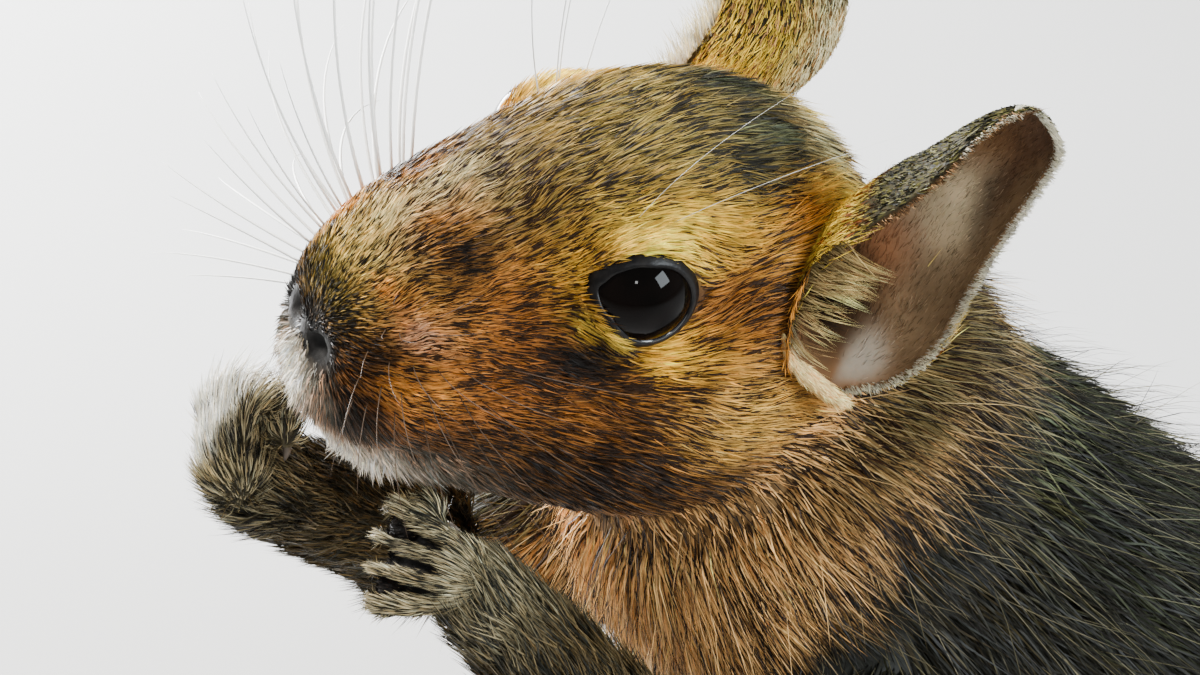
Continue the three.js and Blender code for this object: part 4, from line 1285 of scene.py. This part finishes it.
WHISKER_PALE = colour(232, 232, 228)
WHISKER_DARK = colour(70, 54, 40)
head_faces = triangles[of_parts("head")[triangles].all(1)]
skin_tree = BVHTree.FromPolygons(skin_points.tolist(), head_faces.tolist())


def on_skin(place):
    """The skin's point nearest a place given in the head's frame."""
    return array(skin_tree.find_nearest(from_head(place).tolist())[0])


def strand(root, way, bend_to, long, fat):
    path = bowed(root[None], unit(array(way))[None], unit(array(bend_to))[None], array([long]), 9)[0]
    taper = fat * array([1, 0.9, 0.75, 0.5, 0.12])
    return tube(path, taper, across=(0.3, 0.5, 0.81), sides=5, steps=16, round_ends=False)


def strands_piece(name, strands, tone):
    surface = joined(strands)
    return piece(name, surface, WHISKER, np.repeat(tone[None], len(surface[0]), 0))


# Rows of the whisker pad: forward place of the first and the last, height, how far up they point
WHISKER_ROWS = [
    (17.5, 11.0, -2.6, 1.0), (18.5, 10.5, -4.6, 0.65), (19.0, 10.0, -6.6, 0.25), (19.2, 10.5, -8.8, -0.1),
    (18.8, 11.5, -11.0, -0.45),
]
WHISKERS_A_ROW = 6


def whisker_pieces():
    for name, side in SIDES.items():
        far = side < 0
        made = []
        for front_x, back_x, height, up in WHISKER_ROWS:
            for t in np.linspace(0, 1, WHISKERS_A_ROW):
                if not far and up > 0.5 and t > 0.5:
                    continue
                x = front_x + (back_x - front_x) * t + random.normal(0, 0.25)
                root = on_skin((x, side * (9.5 - 3 * (1 - t)), height + random.normal(0, 0.25)))
                way = (0.75 - 0.95 * t, side * 1.0, up + 0.25 * t + random.normal(0, 0.08))
                bend_to = (0.35 - 1.25 * t, side * 0.75, up * 1.25 - 0.1 + 0.1 * t)
                long = (12 + 24 * t) * random.uniform(0.85, 1.1) * (1 if far else 0.5)
                way, bend_to = (array(w) @ HEAD_TURN.T for w in (way, bend_to))
                made.append(strand(root, way, bend_to, long, 0.09 + 0.06 * t if far else 0.04))
        whiskers = strands_piece(f"whiskers_{name}", made, WHISKER_PALE if far else WHISKER_DARK)


whisker_pieces()

# Brow hairs: root, first way and last way in the head's frame, and length
BROW_HAIRS = [
    ((3.5, 8.0, 6.2), (0.25, 0.35, 0.9), (-0.15, 0.3, 0.95), 16),
    ((1.8, 8.4, 6.4), (0.0, 0.4, 0.9), (-0.45, 0.35, 0.8), 22),
    ((0.8, 8.8, 6.2), (-0.05, 0.45, 0.9), (-0.5, 0.4, 0.75), 20),
    ((-1.2, 9.2, 6.2), (-0.3, 0.5, 0.8), (-0.7, 0.35, 0.6), 21),
]


def brow_hairs():
    made = []
    for side in SIDES.values():
        far = side < 0
        for place, way, bend_to, long in BROW_HAIRS if far else BROW_HAIRS[1::2]:
            way, bend_to = (mirrored(w, side) @ HEAD_TURN.T for w in (way, bend_to))
            made.append(strand(on_skin(mirrored(place, side)), way, bend_to, long, 0.06 if far else 0.016))
    brows = strands_piece("brow_hairs", made, WHISKER_PALE * 0.8)


brow_hairs()


# Eyes and lids

# The lid from its margin on the eyeball out to under the fur: angle past its outer edge, height
LID_PROFILE = [
    (-0.150, -0.25), (-0.150, 0.06), (-0.138, 0.16), (-0.110, 0.23), (-0.060, 0.27), (0.0, 0.30),
    (0.050, 0.30), (0.110, 0.16), (0.170, -0.15),
]
LID_TURNS = 120
EYE_CORNER = math.radians(8)
# The wet line that lies along the lower lid's margin: its turns about the eye and its widths
TEAR_TURNS = (196, 284)
TEAR_WIDE = [0.02, 0.11, 0.12, 0.09, 0.02]


def eye_pieces(name, side):
    centre = eye_centre(side)
    eye = piece(f"eyeball_{name}", ball(centre, EYE["radius"], 96), EYE_BLACK)
    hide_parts(f"eye_{name}")
    facing, forward, upward = (a @ HEAD_TURN.T for a in eye_axes(side))

    def over_eye(turn, half, height):
        """Places at turns about the eye's axis and half angles from it, at a height over the ball."""
        around = forward * np.cos(turn)[:, None] + upward * np.sin(turn)[:, None]
        way = facing * np.cos(half)[:, None] + around * np.sin(half)[:, None]
        return centre + way * (EYE["radius"] + height)

    turn = np.arange(LID_TURNS) / LID_TURNS * 2 * math.pi
    corner = np.exp(-((np.angle(np.exp(1j * (turn - EYE_CORNER))) / 0.3) ** 2))
    lid = [
        over_eye(turn, lid_opening(turn) + past * (1 + 0.9 * corner if past < 0 else 1), height)
        for past, height in LID_PROFILE
    ]
    faces = np.roll(ring_quads(len(lid) - 1, LID_TURNS), -1, axis=1)
    faces = faces if side > 0 else faces[:, ::-1]
    rim = piece(f"lid_{name}", (np.concatenate(lid), faces, NO_TRIS), LID_SKIN)
    turn = np.radians(np.linspace(*TEAR_TURNS, 30))
    margin = over_eye(turn, lid_opening(turn) - 0.158, 0.03)
    tear = piece(f"tear_{name}", tube(margin, TEAR_WIDE, across=facing, sides=10, steps=60), TEAR)


for name, side in SIDES.items():
    eye_pieces(name, side)

nails = piece("claws", claws, CLAW)


# Ears

EAR_OUTER = colour(58, 54, 40)
EAR_INNER = colour(114, 82, 54)
EAR_RED = colour(120, 68, 36)
EAR_PALE = colour(255, 238, 196)
EAR_DARK = colour(72, 54, 42)
EAR_MOTH = colour(142, 118, 88)
# a painted highlight low inside the ear
EAR_BASE_HIGHLIGHT = colour(160, 148, 130)
EAR_FUR = colour(104, 100, 58)
EAR_FUR_DARK = colour(30, 30, 22)
EAR_TAN = colour(160, 124, 86)
FRINGE = colour(232, 226, 204)
HONEY_PALE = colour(255, 222, 150)
LOBE = colour(255, 218, 150)
# Inside: place up the ear, turn across it, reach of each, and colour
EAR_MARKS = [
    (0.46, 2.05, 0.10, 0.45, EAR_PALE),
    (0.33, 1.85, 0.07, 0.36, EAR_RED),
    (0.62, 1.75, 0.14, 0.45, EAR_INNER),
    # painted highlight near the base of the inside
    (0.08, 2.40, 0.05, 0.34, EAR_BASE_HIGHLIGHT),
    # painted shade: these two near-black marks low at the front stand for the shadow over the ear's opening
    (0.15, 1.15, 0.10, 0.68, EAR_DARK * 0.03),
    (0.19, 1.35, 0.06, 0.40, EAR_DARK * 0.03),
    (0.30, 2.75, 0.11, 0.5, EAR_MOTH),
    (0.85, 2.4, 0.16, 0.9, EAR_DARK),
    (0.56, 2.5, 0.08, 0.3, EAR_DARK),
    (0.56, 3.0, 0.2, 0.25, EAR_MOTH * 0.8),
]


def ear_tint(height, angle):
    weight = np.full(len(height), 0.15)
    total = EAR_INNER * weight[:, None]
    for v, turn, reach_v, reach_turn, tone in EAR_MARKS:
        reach = np.exp(-(((height - v) / reach_v) ** 2) - ((angle - turn) / reach_turn) ** 2)
        weight = weight + reach
        total = total + tone * reach[:, None]
    return total / weight[:, None]


def ear_skin(name, side, outer, inner):
    """The ear's outer and inner faces, closed all round their edges."""
    count = EAR_ROWS * EAR_COLUMNS
    number = np.arange(count).reshape(EAR_ROWS, EAR_COLUMNS)
    a, b, c, d = (g.ravel() for g in (number[:-1, :-1], number[:-1, 1:], number[1:, 1:], number[1:, :-1]))
    face = np.stack([a, b, c, d], axis=1)
    strips = [(face[:, ::-1], True), (face + count, True)]
    for line, turn in ((number[:, 0], True), (number[:, -1], False), (number[0], False), (number[-1], True)):
        a, b = line[:-1], line[1:]
        strips.append((np.stack([a, a + count, b + count, b], axis=1), turn))
    faces = np.concatenate([strip[:, ::-1] if turn == (side < 0) else strip for strip, turn in strips])
    height = np.repeat(EAR_HEIGHTS, EAR_COLUMNS)
    angle = np.tile(np.linspace(0, math.pi, EAR_COLUMNS), EAR_ROWS)
    tint = np.concatenate([np.repeat(EAR_OUTER[None], count, 0), ear_tint(height, angle)])
    points = np.concatenate([outer.reshape(-1, 3), inner.reshape(-1, 3)])
    made = piece(f"ear_skin_{name}", (points, faces, NO_TRIS), EAR_SKIN, tint)
    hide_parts(f"ear_{name}")


def ear_spots(grid, outward, dense):
    """Random roots over an ear's grid, dense giving hairs a square millimetre at each height."""
    a, b, c = grid[:-1, :-1], grid[:-1, 1:], grid[1:, :-1]
    across = np.cross(b - a, c - a)
    area = np.linalg.norm(across, axis=2)
    height, angle = np.meshgrid(EAR_HEIGHTS[:-1], np.linspace(0, math.pi, EAR_COLUMNS)[:-1], indexing="ij")
    cell = np.repeat(np.arange(area.size), random.poisson(area * dense(height)).ravel())
    u, w = random.random((2, len(cell), 1))
    flat = [g.reshape(-1, 3)[cell] for g in (a, b, c)]
    root = flat[0] + (flat[1] - flat[0]) * u + (flat[2] - flat[0]) * w
    normal = unit(across.reshape(-1, 3)[cell]) * outward
    return root, normal, unit(flat[2] - flat[0]), height.ravel()[cell], angle.ravel()[cell]


def shaded(light, dark, share, count):
    """Hair colours, each hair light or dark, brighter at its tip."""
    is_dark = (random.random(count) < share)[:, None]
    body = np.where(is_dark, dark, light) * np.exp(random.normal(0, 0.2, count))[:, None]
    tip = np.where(is_dark, body * 0.7, body * 1.05)
    return np.stack([body * 0.55, body * 0.55, body, body, tip], axis=1).clip(0, 1)


# The pale ridge below the opening, from its front end down and back
LOBE_RIDGE = [
    (-10.9, 11.8, -2.6), (-11.5, 12.8, -4.0), (-12.6, 13.4, -5.0), (-13.9, 14.1, -5.9), (-15.1, 14.8, -6.6),
    (-16.3, 14.6, -7.3),
]
LOBE_WIDE = [0.15, 0.42, 0.56, 0.62, 0.5, 0.12]
LOBE_HAIRS = 1600
# From the roots of a lock's hairs to their tips
LOCK_SHADES = (0.15, 0.15, 0.6, 0.6, 1.0, 1.0, 1.15)


def lobe_ridge(side):
    return tube(from_head(mirrored(LOBE_RIDGE, side)), LOBE_WIDE, sides=24, steps=60)


# Each edge with the line beside it, its hairs, their length and width, how far in they start, and
# their light and dark tones with the share of dark ones
EAR_EDGES = [
    (np.s_[:, -1], np.s_[:, -4], 2600, 0.75, 0.06, 0.35, FRINGE, EAR_FUR, 0.05),
    (np.s_[-1], np.s_[-4], 500, 0.5, 0.06, 0.3, FRINGE, EAR_FUR, 0.05),
    (np.s_[16:, 0], np.s_[16:, 2], 1300, 0.8, 0.05, 0.6, EAR_TAN, EAR_FUR_DARK, 0.4),
    (np.s_[56:, 0], np.s_[56:, 2], 300, 0.5, 0.05, 0.2, FRINGE, EAR_FUR, 0.1),
]
# painted back light: long cream hairs along the front edge of the far ear only
BACKLIT_FAR_EDGE = (np.s_[:52, 0], np.s_[:52, 3], 1900, 3.2, 0.08, 0.6, FRINGE, CREAM, 0.3)
# Locks at the front edge: hairs and locks, where they are up the edge, how they drop and lean back,
# length and width, light and dark tones with the share of dark ones, and how deep they root.
# They are the shade under the tuft, the tuft, stray hairs over the hole, and the fur before it
EAR_LOCKS = [
    (160, 30, (0.27, 0.40), (-0.7, -0.1), 0.95, (3.2, 4.6), (0.07, 0.10), BLACK, UMBER, 0.3, 0.1),
    (360, 22, (0.28, 0.42), (-0.8, -0.1), 0.95, (3.6, 5.6), (0.06, 0.10), HONEY_PALE, EAR_TAN, 0.36, 0.4),
    (90, 12, (0.22, 0.30), (-0.2, 0.5), 0.9, (2.8, 4.6), (0.05, 0.08), HONEY_PALE, EAR_TAN, 0.4, 0.4),
    (34, 8, (0.17, 0.25), (0.4, 0.9), 0.8, (2.2, 3.4), (0.04, 0.06), CREAM, EAR_TAN, 0.4, 0.4),
    (420, 60, (0.17, 0.33), (0.9, 1.4), -0.2, (0.9, 1.5), (0.06, 0.10), ORANGE, UMBER, 0.4, 0.4),
]


class EarFur:
    """The hairs of one ear: short ones on its faces and edges, and a tuft over its opening."""

    def __init__(self, side, outer, inner):
        self.side, self.outer, self.inner = side, outer, inner
        corner, middle = outer[0, 0], outer[0, EAR_COLUMNS // 2]
        sideways, upwards, inwards = outer[0, 1] - corner, outer[1, 0] - corner, middle - corner
        self.outward = 1 if np.cross(sideways, upwards) @ inwards > 0 else -1
        self.opening = unit(mirrored(EAR["opens"], side)) @ HEAD_TURN.T
        self.made = {"fur": [], "tuft": []}

    def add(self, root, normal, way, long, wide, lift, light, dark, share, checked=False):
        """Short hairs, of which the checked ones stay out of the ear's hollow."""
        count = len(root)
        way = turned_in_plane(flattened(way, normal), normal, random.normal(0, 0.2, count))
        lift = np.radians(random.normal(lift, lift * 0.25, count)).clip(0.03, 1.2)
        long = long * random.uniform(0.7, 1.25, count)
        hairs = blades(root, normal, way, long, np.full(count, wide), lift)
        clear = ~(checked & in_ear_cup(hairs[:, 4], 0.8))
        self.made["fur"].append((hairs[clear], shaded(light, dark, share, count)[clear]))

    def on_faces(self):
        far = self.side < 0
        root, normal, up, v, angle = ear_spots(self.outer, self.outward, lambda v: 18 + 0 * v)
        # painted back light: the far ear's fur is made paler and creamier than the near ear's
        low = ramp(-v, -0.6, -0.4) if far else ramp(-v, -0.46, -0.34)
        rear = ramp(angle, 0.8, 1.5)
        light = mix(EAR_FUR, mix(HONEY * 0.8, CREAM, rear if far else rear * 0.3), low)
        dark = mix(EAR_FUR_DARK, TAN * 0.6 if far else RUST * 0.7, low)
        long = (1.5 + 1.8 * low) * (0.4 + 0.6 * ramp(v, 0.02, 0.3))
        self.add(root, normal, up, long, 0.085, 16, light, dark, 0.6 - 0.4 * low, checked=v < 0.25)
        root, normal, up, v, angle = ear_spots(self.inner, -self.outward, lambda v: 14 * ramp(v, 0.02, 0.2))
        tone = ear_tint(v, angle)
        self.add(root, normal, up, 1.6, 0.04, 10, tone * 1.5, tone * 0.7, 0.3)

    def on_edge(self, edge, beside, count, long, wide, reach, light, dark, share):
        """Hairs on the rim between the two faces and a little way over the outer one."""
        lines = self.outer[edge], self.outer[beside], self.inner[edge]
        place = np.sort(random.random(count)) * (len(lines[0]) - 1)
        i = place.astype(int).clip(0, len(lines[0]) - 2)
        f = (place - i)[:, None]
        at, near_it, within = (line[i] * (1 - f) + line[i + 1] * f for line in lines)
        away = unit(at - near_it)
        ahead = unit(lines[0][i + 1] - lines[0][i])
        root = mix(at, within, random.random(count)) - away * random.uniform(-0.1, reach, count)[:, None]
        self.add(root, unit(at - within), away * 0.8 + ahead * 0.9, long, wide, 12, light, dark, share)

    def on_lobe(self):
        ridge, _, _ = lobe_ridge(self.side)
        spot = random.integers(0, len(ridge) - 2, LOBE_HAIRS)
        core = along(from_head(mirrored(LOBE_RIDGE, self.side)), np.linspace(0, 1, 80))
        nearest = nearest_of(core, ridge[spot])
        normal = unit(ridge[spot] - core[nearest])
        edge = ramp(-(normal @ (array([-0.6, 0.0, -0.8]) @ HEAD_TURN.T)), -0.9, -0.1) * ramp(nearest, 4, 18)
        tone = mix(ORANGE * 1.1, LOBE, edge)
        self.add(ridge[spot], normal, headings(core)[nearest], 1.0, 0.06, 14, tone, TAN, 0.16)

    def over_opening(self, count, locks, places, drop, lean, long, wide, light, dark, share, sunk):
        lock = random.integers(0, locks, count)
        t = np.sort(random.uniform(*places, locks))[lock]
        i = (t * (EAR_ROWS - 1)).astype(int)
        front, opening = self.outer[i, 0], self.opening
        back = unit(self.outer[i, -1] - front)
        up = unit(self.outer[i + 1, 0] - front)
        way = unit(back * lean - up * random.uniform(*drop, locks)[lock][:, None] + opening * 0.12)
        reach = random.uniform(*long, locks)[lock] * random.uniform(0.8, 1.08, count)
        root = front - back * sunk + up * random.normal(0, 0.45, count)[:, None]
        root = root + opening * random.normal(0, 0.12, count)[:, None]
        way = unit(front + way * reach[:, None] + random.normal(0, 0.14, (count, 3)) - root)
        path = bowed(root, unit(way + opening * 0.3), unit(way - opening * 0.1), reach, 4)
        hairs = ribbons(path, unit(np.cross(way, opening)), random.uniform(*wide, count))
        tone = (np.exp(random.normal(0, 0.2, locks))[lock] * np.exp(random.normal(0, 0.15, count)))[:, None]
        is_dark = (random.random(locks)[lock] + random.random(count)) / 2 < share
        body = np.where(is_dark[:, None], dark, light) * tone
        tints = np.stack([body * shade for shade in LOCK_SHADES], axis=1).clip(0, 1)
        self.made["tuft"].append((hairs, tints))

    def pieces(self, name):
        axis = [from_head(mirrored(EAR["front"][end], self.side)) for end in (0, -1)]
        for kind, made in self.made.items():
            hairs, tints = (np.concatenate(values) for values in zip(*made))
            coat_piece(f"ear_{kind}_{name}", hairs, tints, axis, EAR_HAIR)


for name, side in SIDES.items():
    outer, inner = (ear_grid(side, EAR_HEIGHTS, inset) for inset in (0.0, EAR["thick"]))
    ear_skin(name, side, outer, inner)
    ridge = lobe_ridge(side)
    lobe = piece(f"ear_lobe_{name}", ridge, EAR_SKIN, np.repeat(LOBE[None] * 0.7, len(ridge[0]), 0))
    fur = EarFur(side, outer, inner)
    fur.on_faces()
    for edge in EAR_EDGES + [BACKLIT_FAR_EDGE] * (side < 0):
        fur.on_edge(*edge)
    fur.on_lobe()
    for lock in EAR_LOCKS:
        fur.over_opening(*lock)
    fur.pieces(name)


# Floor and lights


def add_light(name, way, distance, size, watts, tone=(1, 1, 1)):
    """A square soft light that shines at the head from a direction."""
    data = bpy.data.lights.new(name, "AREA")
    data.size = size * MM
    data.energy = watts
    data.color = tone
    way = unit(array(way))
    side = unit(np.cross([0, 0, 1], way))
    aimed(name, data, (side, np.cross(way, side), way), HEAD_AT + way * distance)


def add_stage():
    size = 1500.0
    corners = array([(-1, -1, 0), (1, -1, 0), (1, 1, 0), (-1, 1, 0)]) * size
    floor = object_of("floor", mesh_of("floor", corners, array([[0, 1, 2, 3]]).astype(int)))
    floor.data.materials.append(FLOOR)
    world = bpy.data.worlds.new("studio")
    world.use_nodes = True
    back = world.node_tree.nodes["Background"]
    back.inputs["Color"].default_value = (0.96, 0.98, 1.0, 1)
    back.inputs["Strength"].default_value = 0.38
    bpy.context.scene.world = world
    add_light("key", -VIEW_RIGHT * 0.7 + VIEW_UP * 1.0 + VIEW_BACK * 0.1, 420, 220, 7.5, (1.0, 0.97, 0.92))
    add_light("fill", VIEW_RIGHT * 0.75 + VIEW_UP * 0.12 + VIEW_BACK * 0.62, 480, 190, 4.5, (0.86, 0.94, 1.0))
    add_light("rim", -VIEW_RIGHT * 0.7 + VIEW_UP * 0.6 - VIEW_BACK * 0.9, 380, 160, 11.0, (0.96, 0.98, 1.0))
    add_light("spark", -VIEW_RIGHT * 0.02 + VIEW_UP * 0.04 + VIEW_BACK, 700, 60, 0.8)


add_stage()
